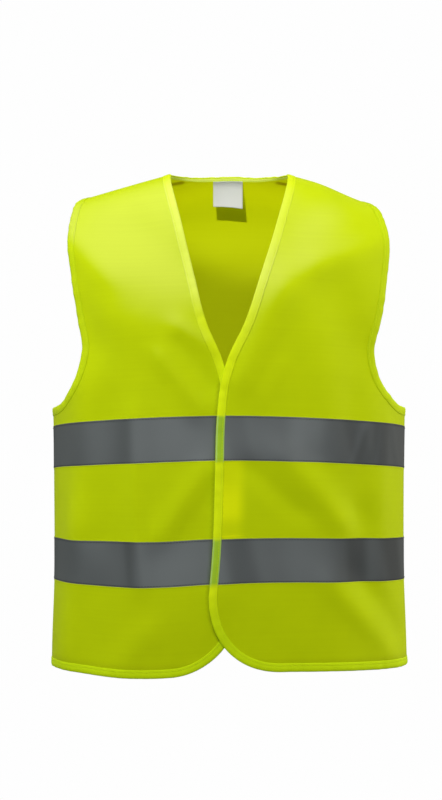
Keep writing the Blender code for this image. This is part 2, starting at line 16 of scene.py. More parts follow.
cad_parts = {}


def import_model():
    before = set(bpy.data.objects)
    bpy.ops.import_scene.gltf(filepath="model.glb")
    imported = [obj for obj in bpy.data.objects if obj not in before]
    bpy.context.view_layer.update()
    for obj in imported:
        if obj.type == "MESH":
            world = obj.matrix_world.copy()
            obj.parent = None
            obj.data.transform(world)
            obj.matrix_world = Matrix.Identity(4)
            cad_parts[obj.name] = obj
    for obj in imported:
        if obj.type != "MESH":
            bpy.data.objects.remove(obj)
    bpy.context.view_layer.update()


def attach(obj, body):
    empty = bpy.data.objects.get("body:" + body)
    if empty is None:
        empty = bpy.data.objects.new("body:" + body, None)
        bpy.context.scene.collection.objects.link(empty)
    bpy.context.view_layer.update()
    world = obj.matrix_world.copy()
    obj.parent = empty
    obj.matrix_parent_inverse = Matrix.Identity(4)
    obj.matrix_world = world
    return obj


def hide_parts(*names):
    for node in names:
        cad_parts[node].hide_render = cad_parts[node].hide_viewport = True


BODY = "root"
CUT = "cut"  # the UV map of every cloth piece: metres on its flat cut

# ------------------------------------------------------------------ the cut

HALF_WIDTH = 0.280
CHEST_UP = 0.400
NECK_ACROSS = 0.072
SHOULDER_ACROSS = 0.180
BINDING_WIDTH = 0.009
BAND_WIDTH = 0.050
LOWER_BAND_UP = 0.100
UPPER_BAND_UP = 0.237
HOOK_WIDTH = 0.020
LOOP_WIDTH = 0.012
CLOSURE_UP = 0.155
LABEL_ACROSS = (-0.018, 0.020)
LABEL_DROP = (0.036, 0.033)

FRONT_EDGE = (
    # name, across, up; the shoulder point above them is worked out
    ("collarbone", 0.071, 0.590),
    ("upper V", 0.055, 0.510),
    ("middle V", 0.034, 0.440),
    ("lower V", 0.018, 0.392),
    ("crossing", -0.002, 0.349),
    ("below the crossing", -0.009, 0.325),
    ("upper band", -0.013, 0.294),
    ("closure", -0.016, 0.215),
    ("lower band", -0.019, 0.135),
    ("corner", -0.023, 0.088),
)
CORNER_ACROSS = 0.083
CORNER_EXPONENT = 2.2

FRONT_ARMHOLE = (
    # name, across, up; from the underarm to the shoulder tip, whose height is worked out
    ("underarm", HALF_WIDTH, 0.309),
    ("scoop", 0.210, 0.315),
    ("low", 0.187, 0.336),
    ("narrowest", 0.178, 0.365),
    ("chest", 0.188, 0.415),
    ("high", 0.195, 0.480),
    ("near the tip", 0.190, 0.550),
)

BACK_ARMHOLE = (
    ("underarm", HALF_WIDTH, 0.309),
    ("scoop", 0.222, 0.318),
    ("low", 0.197, 0.340),
    ("narrowest", 0.187, 0.375),
    ("chest", 0.190, 0.420),
    ("high", 0.195, 0.480),
    ("near the tip", 0.190, 0.550),
)

BACK_NECK = (
    # name, across, below the shoulder seam's line at the middle; half of the curve
    ("side", 0.060, 0.039),
    ("beside the middle", 0.038, 0.055),
    ("middle", 0.000, 0.059),
)

# ------------------------------------------------------------------ the figure

HEM_LEVEL = -0.575
RING_EXPONENT = 2.35
SHOULDER_SLOPE = math.tan(math.radians(16.6))
SHOULDER_LEVEL = -0.0012
SHOULDER_SPREAD = 0.97
NECK_ROUNDING = 0.040
LEFT_TIP_ACROSS = (0.100, SHOULDER_ACROSS)
LEFT_TIP_RISE = (0.40, 1.00)
LEFT_TIP_IN = 0.008
LEFT_TIP_DOWN = 0.005
DIP_POWER = 1.7
LAP_LIFT = 0.0020
LAP_FLAT, LAP_END = 0.020, 0.078
SLIP = 0.011
SLIP_ACROSS = (0.020, 0.160)
SLIP_UP = (0.330, 0.560)
SEAM_INSET = 0.00004  # how far short of a seam each panel's cloth ends

SECTIONS = (
    # name, up, half width, front depth, back depth, dip at the side seams
    ("hem", 0.000, 0.2120, 0.120, 0.116, 0.0090),
    ("lower band", 0.125, 0.2085, 0.122, 0.118, 0.0080),
    ("upper band", 0.262, 0.2090, 0.127, 0.121, 0.0160),
    ("chest", CHEST_UP, 0.2120, 0.130, 0.125, 0.0180),
)

SAGS = (
    # name, girth, half width, drop at the hem, height where it ends
    ("right front", -0.100, 0.088, 0.0085, 0.300),
)

FOLDS = (
    # name, girth, up, girth, up, half width, height; girth runs round the body from the middle of the front
    ("right upper chest", -0.105, 0.505, -0.060, 0.470, 0.036, -0.0075),
    ("right chest, across", -0.130, 0.400, -0.070, 0.380, 0.028, 0.0022),
    ("right armhole, upper part", -0.190, 0.492, -0.145, 0.452, 0.020, 0.0035),
    ("right armhole", -0.172, 0.402, -0.160, 0.380, 0.022, -0.0040),
    ("left upper chest", 0.110, 0.560, 0.085, 0.515, 0.030, -0.0045),
    ("left chest, up to the armhole", 0.104, 0.460, 0.172, 0.488, 0.018, 0.0030),
    ("left chest, upper part", 0.096, 0.458, 0.066, 0.426, 0.018, 0.0018),
    ("left chest, along the V", 0.056, 0.428, 0.018, 0.335, 0.021, 0.0058),
    ("left armhole", 0.135, 0.410, 0.150, 0.375, 0.036, -0.0080),
    ("right below closure", -0.076, 0.162, -0.030, 0.222, 0.016, 0.0035),
    ("left of the closure", 0.066, 0.240, 0.128, 0.172, 0.016, 0.0030),
    ("left of the closure, beyond", 0.112, 0.240, 0.158, 0.180, 0.017, -0.0018),
    ("left side, through the bands", 0.146, 0.310, 0.164, 0.110, 0.020, -0.0034),
    ("left hip", 0.122, 0.096, 0.196, 0.020, 0.016, 0.0026),
    ("beside the left hip", 0.156, 0.108, 0.216, 0.046, 0.016, -0.0024),
    ("right side ridge, upper part", -0.178, 0.320, -0.184, 0.160, 0.026, 0.0052),
    ("right side ridge", -0.186, 0.160, -0.204, 0.030, 0.026, 0.0048),
    ("right side, through the bands", -0.140, 0.300, -0.142, 0.160, 0.022, -0.0020),
    ("right corner", -0.060, 0.005, -0.035, 0.010, 0.028, -0.0020),
    ("right hem wave", -0.130, 0.010, -0.098, 0.045, 0.018, 0.0018),
    ("back, left blade", 0.470, 0.430, 0.395, 0.300, 0.030, -0.0045),
    ("back, right blade", -0.465, 0.425, -0.400, 0.310, 0.030, -0.0040),
    ("back, across the shoulders", 0.500, 0.475, 0.610, 0.450, 0.022, 0.0030),
    ("back, middle", 0.560, 0.330, 0.548, 0.110, 0.045, -0.0050),
    ("back, left waist", 0.440, 0.240, 0.455, 0.000, 0.030, 0.0045),
    ("back, right waist", -0.470, 0.220, -0.440, 0.000, 0.032, 0.0045),
    ("back, left hip", 0.395, 0.098, 0.340, 0.020, 0.018, 0.0035),
    ("back, right crease", -0.372, 0.230, -0.425, 0.168, 0.018, 0.0035),
    ("left side seam", 0.300, 0.210, 0.320, 0.030, 0.030, -0.0035),
    ("right side seam", -0.310, 0.230, -0.300, 0.020, 0.030, -0.0035),
)
CREASES = (
    # as FOLDS: the narrow ones, which only the cloth's thin shell has
    ("right chest, above the crease", -0.052, 0.386, -0.022, 0.366, 0.012, 0.0025),
    ("right chest crease", -0.055, 0.366, -0.020, 0.322, 0.011, -0.0022),
    ("right chest to closure", -0.076, 0.350, -0.034, 0.298, 0.013, 0.0032),
    ("left chest, low", 0.058, 0.340, 0.040, 0.308, 0.011, 0.0014),
    ("left below closure", 0.030, 0.224, 0.080, 0.182, 0.013, -0.0026),
    ("right side, up and down", -0.111, 0.290, -0.106, 0.105, 0.013, 0.0024),
    ("left side, up and down", 0.190, 0.280, 0.192, 0.110, 0.013, 0.0014),
    ("left front edge", -0.004, 0.165, -0.006, 0.095, 0.022, 0.0030),
    ("upper band, left, first", 0.150, 0.238, 0.164, 0.276, 0.006, 0.0009),
    ("upper band, left, second", 0.206, 0.286, 0.219, 0.243, 0.006, 0.0010),
    ("upper band, left, third", 0.185, 0.288, 0.177, 0.246, 0.006, -0.0008),
)
FOLD_FADE = 0.75  # folds die away over the last part of the way up to the shoulder seam
FOLD_END_EASE = 1.5  # and past their ends, over this many half widths

# ------------------------------------------------------------------ cloth and thread

PANEL_WALL = 0.0005
BAND_WALL = 0.0003
BAND_LIFT = 0.00045  # from the panel's middle to the band's
BAND_MARGIN = 0.0009  # the band's yellow backing shows this far past its grey face
BAND_UNDER_BINDING = 0.003  # how far a front's band runs on under the front edge's binding
BAND_SPARE = 0.010  # above and below a band, where the front's edge is still read
BAND_ROWS = 17  # lines of points across a band's grey face
BACKING_ROW = 0.8  # its backing has a line of points at this share of the margin, and one at the edge
BINDING_WALL = 0.00035
BINDING_OVER_BAND = 0.0004  # how much further out a binding lies where a band runs under it
CLOSURE_WALL = 0.0009
LABEL_WALL = 0.0004
LABEL_LIFT = 0.0017

FOLD_INSET = -0.0007  # where a binding's fold lies, in from the panel's edge: below 0 is past it
BINDING_PROFILE = (
    # name, in from the panel's edge, out from the panel's middle; the inner leg mirrors the outer one
    ("free edge", 0.0090, 0.00034),
    ("free strip", 0.0080, 0.00064),
    ("stitched groove", 0.0066, 0.00046),
    ("puff's foot", 0.0054, 0.00072),
    ("puff", 0.0034, 0.00098),
    ("roll", 0.0014, 0.00088),
    ("shoulder of the fold", -0.0001, 0.00056),
    ("fold", FOLD_INSET, 0.00000),
)
STITCH_ROW = 0.0066  # in from the panel's edge
STITCH_LIFT = 0.00066  # from the panel's middle
STITCH_STEP = 0.002  # between the points that a binding's row of stitches follows
BAND_ROW = 0.0016  # in from the band's edge
BAND_ROW_START = 0.004  # along a front's band, from where the band begins

FINE_STEP = 0.001
EDGE_STEP = 0.003
CLOTH_STEP = 0.0036
CLOTH_CLEAR = 0.6  # no point of the cloth lies nearer to its outline than this share of a step
SEAM_EASE = 0.015

CLOSURE_LIFT = 0.0011
CLOSURE_BESIDE = 0.0004  # between a patch of the closure and the binding
CLOSURE_BELOW_BAND = 0.0018
CLOSURE_STEP = 0.002
CLOSURE_COLUMNS = 11

LABEL_UNDER_BINDING = 0.002
LABEL_LOOK = 0.0005  # how far on the cloth is looked at, to see which way the label leaves
LABEL_TURN = (-0.1, 0.45)  # shares of its drop between which the label turns to hang straight down
LABEL_CURL = 0.10
LABEL_CURL_RATE, LABEL_CURL_START = 2.6, 0.4
LABEL_BOW = -0.0016
LABEL_SKEW = 0.35  # the label's one side bows the other way, by this share

ALLOWANCE_WIDTH = 0.010
ALLOWANCE_LIFT = 0.0011
ALLOWANCE_START = 0.0004  # from the seam
ALLOWANCE_ROWS = 5
ALLOWANCE_SHORT = 0.002  # how far short of the neck and the armhole a shoulder's allowance ends
SIDE_ALLOWANCE_UP = (0.004, 0.305)  # from just above the hem to just below the armhole

STITCH_SIZES = {"Length": 0.0026, "Pitch": 0.0033, "Radius": 0.00022, "Rise": 0.00028, "Seed": 11}
STITCH_TURN = 0.09  # the most that a stitch is turned from its row, in radians

PUCKER_REACH = 0.010
PUCKER_PHASE = 40  # where a wave starts, in radians for each metre of its length
PUCKER_CALM = 0.03  # the waves die away this near a seam
PUCKER_SWELL = 0.35  # how much the waves grow and shrink along an edge
PUCKER_SWELL_RATES = (31, 17)  # and how fast, in radians a metre
EDGES_APART = 3.0  # how far one bound edge's waves start after the last one's, so that they differ
PUCKERS = (
    # length of a wave, height; they add up along every bound edge
    (0.0170, 0.00030),
    (0.0117, 0.00022),
    (0.0410, 0.00035),
)
SEAM_DIP, SEAM_DIP_REACH = 0.0005, 0.0018

# ------------------------------------------------------------------ light and shade painted on the cloth

PALE_FROM, PALE_TO = 0.98, 1.28  # how strongly lit the cloth is where it begins to pale, and is palest
PALE_FROM_ABOVE = 0.35  # how much more it counts as lit where it faces up
NECK_HOLLOW_SHADES = (
    # name, across, up, across, up, half width: painted shade in the hollows under the shoulder seams' ends,
    # inside the back
    ("left", 0.076, 0.602, 0.061, 0.603, 0.0050),
    ("right", -0.078, 0.602, -0.064, 0.603, 0.0050),
)
BINDING_TINTS = (
    # name's start, painted shade (how bright the binding is), share of the greener tint
    ("back_neck", 0.80, 0.0),
    ("armhole", 0.84, 0.5),
    ("front", 1.00, 0.0),
    ("back", 1.00, 0.0),
)
BINDING_LIGHTER, BINDING_LIGHTER_UP = 0.12, (0.31, 0.38)  # painted light: bindings lighter below this, except at the hem
HEM_GREEN_UP = (0.03, 0.10)  # where the greener tint of the hem's binding ends, up a front's binding
HEM_SHADE, HEM_SHADE_REACH = 0.4, 0.008  # the cloth is shaded above the hem's binding
THROUGH_LEVELS = (-0.60, -0.25)  # the least light that comes through the cloth grows between these levels
THROUGH_FACING = (0.45, 0.90)  # how far up the cloth faces where more light comes through, and where most
THROUGH_LEAST = 0.20
NECK_GLOW_INSET = 0.0010  # light comes through the neck binding's inner leg from this far in
NECK_GLOW_ENDS, NECK_GLOW_LOSS = (0.048, 0.066), 0.6  # and less of it towards the shoulder seams
LIT_WAY = (-0.03, 0.98, 0.15)  # across, out and up: the way to the light that the bands return
LIT_POWER = 12
PATCH_GLOW = (
    # how high up, and how bright the cloth is there over the closure patch
    (0.146, 0.0), (0.150, 0.55), (0.158, 0.42), (0.166, 0.50), (0.176, 0.90),
    (0.186, 1.00), (0.200, 0.90), (0.214, 0.65), (0.236, 0.50), (0.246, 0.0),
)
PATCH_EASE, PATCH_FADE = 0.002, (0.006, 0.010)  # soft edges: by the binding, and within and past the far side
SEWN_END_UP = ((0.1526, 0.1530), (0.1544, 0.1540))  # the brighter line where the patch's lower end is sewn
BINDING_RIMS = ((0.0016, 0.0008), (0.0076, 0.0082))  # across a binding's strip, its lighter edges over a band
FREE_EDGE = (0.0012, 0.0002)  # across it, its free edge, darkened with painted shade
BAND_RIM, BAND_BACKING = (0.0236, 0.0248), (0.02490, 0.02515)  # out from a band's middle
BAND_SHADES = (
    # name, across, up, across, up, half width, how much darker the band is along that line, as painted shade;
    # below 0 it is lighter, as painted light
    ("upper right end", -0.222, 0.235, -0.206, 0.290, 0.040, -0.22),
    ("lower right end", -0.214, 0.095, -0.198, 0.152, 0.036, -0.24),
    ("upper right, middle", -0.050, 0.236, -0.054, 0.290, 0.050, -0.09),
    ("lower right, middle", -0.050, 0.098, -0.054, 0.152, 0.050, -0.16),
    ("lower right", -0.106, 0.098, -0.113, 0.152, 0.010, 0.20),
    ("upper, beside the left front's edge", 0.004, 0.285, 0.014, 0.237, 0.013, 0.13),
    ("lower, beside the left front's edge", 0.006, 0.150, 0.018, 0.100, 0.018, 0.26),
    ("upper left, middle", 0.088, 0.235, 0.090, 0.290, 0.022, -0.30),
    ("lower left, middle", 0.096, 0.098, 0.090, 0.152, 0.032, -0.13),
    ("upper left crease", 0.162, 0.236, 0.148, 0.290, 0.014, 0.20),
    ("lower left crease", 0.156, 0.098, 0.153, 0.152, 0.015, 0.27),
    ("upper left end", 0.186, 0.236, 0.188, 0.290, 0.012, 0.20),
    ("lower left end", 0.218, 0.098, 0.205, 0.152, 0.018, 0.30),
    ("upper back, left", 0.470, 0.236, 0.452, 0.290, 0.016, 0.16),
    ("upper back, right", -0.430, 0.290, -0.446, 0.236, 0.020, -0.12),
    ("lower back, middle", 0.540, 0.098, 0.552, 0.152, 0.018, 0.14),
    ("lower back, right", -0.470, 0.098, -0.452, 0.152, 0.014, 0.18),
)
CONTACT_REACH, CONTACT_TOP = 0.0045, -0.225  # shade beside the lapping edge: its width, and its top's level
LAPPING_ACROSS, LAPPING_UP = 0.02, 0.01  # the lapping part of the left front's edge is within and above these

# ------------------------------------------------------------------ camera, lights and colours

CAMERA_PLACE = (-0.0096, -1.9, -0.2705)
CAMERA_LENS, CAMERA_SENSOR = 71.25, 36.0
FLOOR_REACH, FLOOR_LEVEL = 30.0, -0.95

LIGHTS = (
    # name, degrees right of the camera's side and up, distance, width, power, aim, colour
    ("left", (-55, 15), 2.2, 1.0, 4.2, (0, 0, -0.27), (0.88, 1.0, 1.0)),
    ("right rim", (95, 10), 2.0, 1.0, 21.5, (0, 0, -0.27), (1.0, 0.93, 0.85)),
    ("left rim", (-95, 10), 2.0, 1.0, 5.6, (0, 0, -0.27), (1.0, 0.97, 0.94)),
    ("top left", (-60, 68), 1.6, 1.0, 9.0, (0, 0, -0.27), (1.0, 0.95, 0.88)),
    ("top right", (60, 68), 1.6, 1.0, 3.6, (0, 0, -0.27), (1.0, 0.95, 0.88)),
)
FRONT_LIGHTS = (
    # the same, for lights that don't reach the inside of the back
    ("key", (-8, 19), 1.4, 0.07, 7.6, (0, 0, -0.05), (1.0, 0.965, 1.0)),
    ("second", (-2, 27), 1.4, 0.09, 2.5, (0, 0, -0.05), (1.0, 0.965, 1.0)),
)
# the same, for the back alone: one light behind it, and two in front of it for its inside
BACK_LIGHT = ("back", (172, 14), 2.2, 1.0, 14.0, (0.0, 0.0, -0.27), (1.0, 1.0, 1.0))
INSIDE_LIGHT = ("inside", (-7, 14.7), 1.4, 0.03, 6.0, (0.0, 0.1, 0.0), (1.0, 1.0, 1.0))
NECK_LIGHT = ("inside, at the neck", (-8, 11), 1.4, 0.03, 54.0, (0.020, 0.1, 0.099), (1.0, 1.0, 1.0))
NECK_BEAM, NECK_BEAM_BLEND = math.radians(17.2), 0.38
ROOM_STRENGTH = 0.264
BACKDROP_STRENGTH = 0.991

FINISHES = {}
COLOURS = {
    "cloth": (0.61, 0.77, 0.0005),
    "cloth, deep": (0.55, 0.71, 0.0003),
    # painted highlight, where the key light falls
    "cloth, pale": (0.64, 0.775, 0.058),
    # the cloth's inner face: redder than the outer one, a painted tint for light bounced about inside the
    # vest
    "inside": (0.485, 0.55, 0.0005),
    # painted shade, in the hollows under the shoulder seams' ends
    "inside, hollow": (0.34, 0.26, 0.0005),
    # painted glow: colours emitted for light coming through the cloth and the neck binding
    "light through": (0.26, 0.27, 0.0),
    "light through the neck binding": (0.46, 0.53, 0.10),
    "binding": (0.74, 0.90, 0.008),
    "binding, deep": (0.66, 0.83, 0.002),
    # painted highlight, where the key light falls
    "binding, pale": (0.75, 0.88, 0.115),
    "binding, green": (0.64, 0.88, 0.004),
    "binding over a band": (0.33, 0.55, 0.030),
    "binding's edges over a band": (0.44, 0.66, 0.19),
    "band": (0.154, 0.174, 0.172),
    "band, shaded": (0.080, 0.125, 0.040),
    "label": (0.82, 0.835, 0.90),
    "label, deep": (0.785, 0.80, 0.87),
    "closure": (0.84, 0.96, 0.001),
    "grey thread": (0.06, 0.065, 0.065),
    "no light": (0.0, 0.0, 0.0),
}


# ------------------------------------------------------------------ the cut on the figure


class QuarterArc:
    """A quarter of a superellipse, as points at equal shares of its length: from (1, 0) out to (0, 1) up."""

    def __init__(self, exponent, out, up, count=2001):
        angle = np.linspace(0, math.pi / 2, count)
        self.out = np.abs(np.cos(angle)) ** (2 / exponent)
        self.up = np.abs(np.sin(angle)) ** (2 / exponent)
        steps = np.hypot(np.diff(self.out * out), np.diff(self.up * up))
        length = np.concatenate([[0], np.cumsum(steps)])
        self.share = length / length[-1]
        self.stretch = length[-1] / math.hypot(out, up)  # its length for each metre of its chord

    def at(self, share):
        return np.interp(share, self.share, self.out), np.interp(share, self.share, self.up)


RING = QuarterArc(RING_EXPONENT, 0.125, 0.210)


class Side:
    """The figure's front or back half: its depth, its bend to the shoulders and where its girth starts."""

    def __init__(self, column, facing, exponent, girth):
        self.column, self.facing, self.girth = column, facing, girth
        self.profile = QuarterArc(exponent, 0.125, 0.180)


FRONT = Side(3, 1, 2.0, 0.0)
BACK = Side(4, -1, 3.0, 2 * HALF_WIDTH)


def smoothstep(low, high, value):
    """0 up to low and 1 from high, eased; high may be the lower one."""
    share = np.clip((value - low) / (high - low), 0, 1)
    return share * share * (3 - 2 * share)


def section(column, up):
    """A column of SECTIONS at these heights, eased from row to row."""
    value = np.full(np.shape(up), SECTIONS[0][column], float)
    for lower, upper in zip(SECTIONS, SECTIONS[1:]):
        value += (upper[column] - lower[column]) * smoothstep(lower[1], upper[1], up)
    return value


def chest_to_shoulder(side, across):
    """At the chest: place across, depth, height. Then the shoulder's height and the cloth's length to it."""
    share = np.clip(np.abs(across) / HALF_WIDTH, 0, 1)
    depth, width = RING.at(share)
    depth = depth * section(side.column, CHEST_UP)
    chest = HEM_LEVEL + CHEST_UP - section(5, CHEST_UP) * share**DIP_POWER
    seat = SHOULDER_SPREAD * np.abs(across)
    neck = SHOULDER_SPREAD * NECK_ACROSS
    fall = np.hypot(seat, NECK_ROUNDING) - np.hypot(neck, NECK_ROUNDING)
    top = SHOULDER_LEVEL - SHOULDER_SLOPE * fall
    length = side.profile.stretch * np.hypot(depth, top - chest)
    return width * section(2, CHEST_UP), depth, chest, top, length


def shoulder_up(side, across):
    """How far up the cut the shoulder seam lies."""
    return CHEST_UP + chest_to_shoulder(side, across)[4]


def drape(side, across, up):
    """The cut on the figure, without folds."""
    across = np.clip(across, SEAM_INSET - HALF_WIDTH, HALF_WIDTH - SEAM_INSET)
    share = np.abs(across) / HALF_WIDTH
    low = np.minimum(up, CHEST_UP)
    depth_share, width_share = RING.at(share)
    x = width_share * section(2, low)
    y = depth_share * section(side.column, low)
    z = HEM_LEVEL + low - section(5, low) * share**DIP_POWER
    chest_x, chest_y, chest, top, length = chest_to_shoulder(side, across)
    rise = np.clip((up - CHEST_UP) / length, 0, 1 - SEAM_INSET / length)
    back, raised = side.profile.at(rise)
    above = up > CHEST_UP
    seat = SHOULDER_SPREAD * np.abs(across)
    x = np.where(above, chest_x + (seat - chest_x) * smoothstep(0, 1, rise), x)
    y = np.where(above, chest_y * back, y)
    z = np.where(above, chest + (top - chest) * raised, z)
    droop = smoothstep(*LEFT_TIP_ACROSS, side.facing * across) * smoothstep(*LEFT_TIP_RISE, rise)
    x, z = x - LEFT_TIP_IN * droop, z - LEFT_TIP_DOWN * droop
    if side is FRONT:
        for _, girth, half_width, drop, end in SAGS:
            z = z - drop * np.exp(-(((across - girth) / half_width) ** 2)) * (1 - smoothstep(0, end, up))
    return np.stack([side.facing * np.sign(across) * x, -side.facing * y, z], axis=-1)


def normals_of(surface, side, across, up, reach=0.0008):
    """Unit normals, facing out. Beside a seam they are read just inside it."""
    across = np.clip(across, reach - HALF_WIDTH, HALF_WIDTH - reach)
    up = np.minimum(up, shoulder_up(side, across) - reach)
    along = surface(side, across + reach, up) - surface(side, across - reach, up)
    upward = surface(side, across, up + reach) - surface(side, across, up - reach)
    normal = np.cross(along, upward)
    return normal / np.linalg.norm(normal, axis=-1, keepdims=True)


def fold_height(side, across, up):
    """How far the folds push the cloth out."""
    whole = 4 * HALF_WIDTH
    total = np.zeros(np.shape(across))
    for _, girth, height, end_girth, end_height, half_width, push in FOLDS + CREASES:
        over = (across + side.girth - girth + whole / 2) % whole - whole / 2
        run = np.array([end_girth - girth, end_height - height])
        length = np.hypot(*run)
        run = run / length
        along = over * run[0] + (up - height) * run[1]
        beside = over * run[1] - (up - height) * run[0]
        past = np.maximum(np.maximum(-along, along - length), 0)
        total += push * np.exp(-((beside / half_width) ** 2) - (past / (FOLD_END_EASE * half_width)) ** 2)
    rise = (up - CHEST_UP) / (shoulder_up(side, across) - CHEST_UP)
    return total * (1 - smoothstep(FOLD_FADE, 1, rise))


class Panel:
    """A cut piece on the figure: its side, how far the lap pushes it out, and its bound edges."""

    def __init__(self, side, lap, edges):
        self.side, self.lap = side, lap
        self.line = np.concatenate([edge.line for edge in edges])
        self.run = np.concatenate([edge.run + EDGES_APART * i for i, edge in enumerate(edges)])
        self.tree = KDTree(len(self.line))
        for index, point in enumerate(self.line):
            self.tree.insert((*point, 0), index)
        self.tree.balance()

    def ripple(self, flat):
        """The waves that the sewing puts into the bound edges, and the dip along the seams."""
        shape = flat.shape[:-1]
        flat = flat.reshape(-1, 2)
        found = [self.tree.find((*point, 0))[1:] for point in flat]
        place = self.run[[index for index, _ in found]]
        away = np.array([distance for _, distance in found])
        turns = [(2 * math.pi * place / length + PUCKER_PHASE * length, height) for length, height in PUCKERS]
        wave = sum(height * np.sin(turn) for turn, height in turns)
        fast, slow = PUCKER_SWELL_RATES
        swell = 1 - PUCKER_SWELL + PUCKER_SWELL * np.sin(place * fast + 1) * np.sin(place * slow)
        to_side = HALF_WIDTH - np.abs(flat[:, 0])
        to_shoulder = shoulder_up(self.side, flat[:, 0]) - flat[:, 1]
        dip = np.exp(-((np.minimum(to_side, to_shoulder) / SEAM_DIP_REACH) ** 2))
        calm = smoothstep(0, PUCKER_CALM, np.minimum(to_side, to_shoulder))
        return (wave * swell * np.exp(-((away / PUCKER_REACH) ** 2)) * calm - SEAM_DIP * dip).reshape(shape)

    def surface(self, side, across, up):
        push = fold_height(side, across, up)
        push = push + self.lap * (1 - smoothstep(LAP_FLAT, LAP_END, np.abs(across)))
        return drape(side, across, up) + push[..., None] * normals_of(drape, side, across, up)

    def points(self, flat, lift=0.0):
        """Places on the cloth for points of the cut, moved out by lift from its middle."""
        flat = np.asarray(flat, float)
        lift = lift + self.ripple(flat)
        across, up = flat[..., 0], flat[..., 1]
        if self.lap < 0:
            slipped = 1 - smoothstep(*SLIP_ACROSS, np.abs(across))
            across = across - SLIP * slipped * (1 - smoothstep(*SLIP_UP, up))
        normal = normals_of(self.surface, self.side, across, up)
        return self.surface(self.side, across, up) + lift[..., None] * normal

    def normals(self, flat):
        across, up = np.asarray(flat, float).T
        return normals_of(self.surface, self.side, across, up)


# ------------------------------------------------------------------ lines and outlines of the cut


def smooth_line(points, step=FINE_STEP):
    """A curve through the points, as close points: cubic pieces that share their slopes."""
    points = np.array(points, float)
    knots = np.concatenate([[0], np.cumsum(np.hypot(*np.diff(points, axis=0).T))])
    slopes = np.gradient(points, knots, axis=0)
    places = np.linspace(0, knots[-1], max(2, round(knots[-1] / step) + 1))
    row = np.clip(np.searchsorted(knots, places, side="right") - 1, 0, len(knots) - 2)
    span = (knots[row + 1] - knots[row])[:, None]
    t = (places - knots[row])[:, None] / span
    start = (1 + 2 * t) * (1 - t) ** 2 * points[row] + t * (1 - t) ** 2 * span * slopes[row]
    end = t * t * (3 - 2 * t) * points[row + 1] - t * t * (1 - t) * span * slopes[row + 1]
    return start + end


def together(*parts):
    """Numbers spread over one grid, as a point for each of its places."""
    return np.stack(np.broadcast_arrays(*parts), axis=-1)


def even_steps(start, end, step):
    return np.linspace(start, end, max(2, round(abs(end - start) / step) + 1))


class BoundEdge:
    """A stretch of a cut's outline under a binding. seams are the ways that the seams leave its two ends."""

    def __init__(self, line, seams):
        self.line = line
        self.run = np.concatenate([[0], np.cumsum(np.hypot(*np.diff(line, axis=0).T))])
        way = np.gradient(line, axis=0)
        way /= np.hypot(*way.T)[:, None]
        self.way, self.seams = way, [np.array(seam) / np.hypot(*seam) for seam in seams]

    def length(self):
        return self.run[-1]

    def at(self, places, inset):
        """Points of the cut at these places along the edge and this far in from it, ending on the seams."""
        places, inset = np.broadcast_arrays(places, inset)
        x, y, way_x, way_y = (np.interp(places, self.run, part) for part in (*self.line.T, *self.way.T))
        flat = np.stack([x - inset * way_y, y + inset * way_x], axis=-1)
        for end, place, seam in zip((0, -1), (0, self.length()), self.seams):
            way = self.way[end]
            left = np.array([-way[1], way[0]])
            shift = seam / (way[0] * seam[1] - way[1] * seam[0]) - left
            near = 1 - smoothstep(0, SEAM_EASE, np.abs(places - place))
            flat = flat + (near * inset)[..., None] * shift
        return flat

    def steps(self, step=EDGE_STEP):
        return even_steps(0, self.length(), step)

    def mirrored(self):
        return BoundEdge(self.line[::-1] * (-1, 1), [seam * (-1, 1) for seam in self.seams[::-1]])


def inside(outline, points):
    """Which points lie inside a closed outline."""
    odd = np.zeros(len(points), bool)
    for (x0, y0), (x1, y1) in zip(outline, np.roll(outline, -1, axis=0)):
        if y0 != y1:
            crosses = (y0 > points[:, 1]) != (y1 > points[:, 1])
            odd ^= crosses & (points[:, 0] < x0 + (points[:, 1] - y0) * (x1 - x0) / (y1 - y0))
    return odd


def triangulate(outline):
    """The flat cloth inside an outline, as points and triangles of even size."""
    low, high = outline.min(axis=0), outline.max(axis=0)
    rise = CLOTH_STEP * math.sqrt(3) / 2
    tree = KDTree(len(outline))
    for index, point in enumerate(outline):
        tree.insert((*point, 0), index)
    tree.balance()
    loose = []
    for row, up in enumerate(np.arange(low[1] + rise / 2, high[1], rise)):
        start = low[0] + CLOTH_STEP * (0.25 + 0.5 * (row % 2))
        for across in np.arange(start, high[0], CLOTH_STEP):
            if tree.find((across, up, 0))[2] > CLOTH_CLEAR * CLOTH_STEP:
                loose.append((across, up))
    loose = np.array(loose)
    loose = loose[inside(outline, loose)]
    edges = [(i, (i + 1) % len(outline)) for i in range(len(outline))]
    corners = [Vector(point) for point in np.concatenate([outline, loose])]
    points, _, faces, *_ = delaunay_2d_cdt(corners, edges, [], 1, 1e-6)
    return np.array([tuple(point) for point in points]), np.array(faces)


def shoulder_line(side, start, end):
    across = even_steps(start, end, EDGE_STEP)
    return together(across, shoulder_up(side, across))


def side_seam(start, end):
    up = even_steps(start, end, EDGE_STEP)
    return together(HALF_WIDTH, up)


def seam_way(side, across, toward):
    """The way the shoulder seam leaves one of its ends."""
    near = across + 1e-5 * np.sign(toward - across)
    return (near - across, shoulder_up(side, near) - shoulder_up(side, across))


def armhole_edge(side, table):
    rows = [row[1:] for row in table] + [(SHOULDER_ACROSS, shoulder_up(side, SHOULDER_ACROSS))]
    return BoundEdge(smooth_line(rows), ((0, -1), seam_way(side, SHOULDER_ACROSS, 0)))


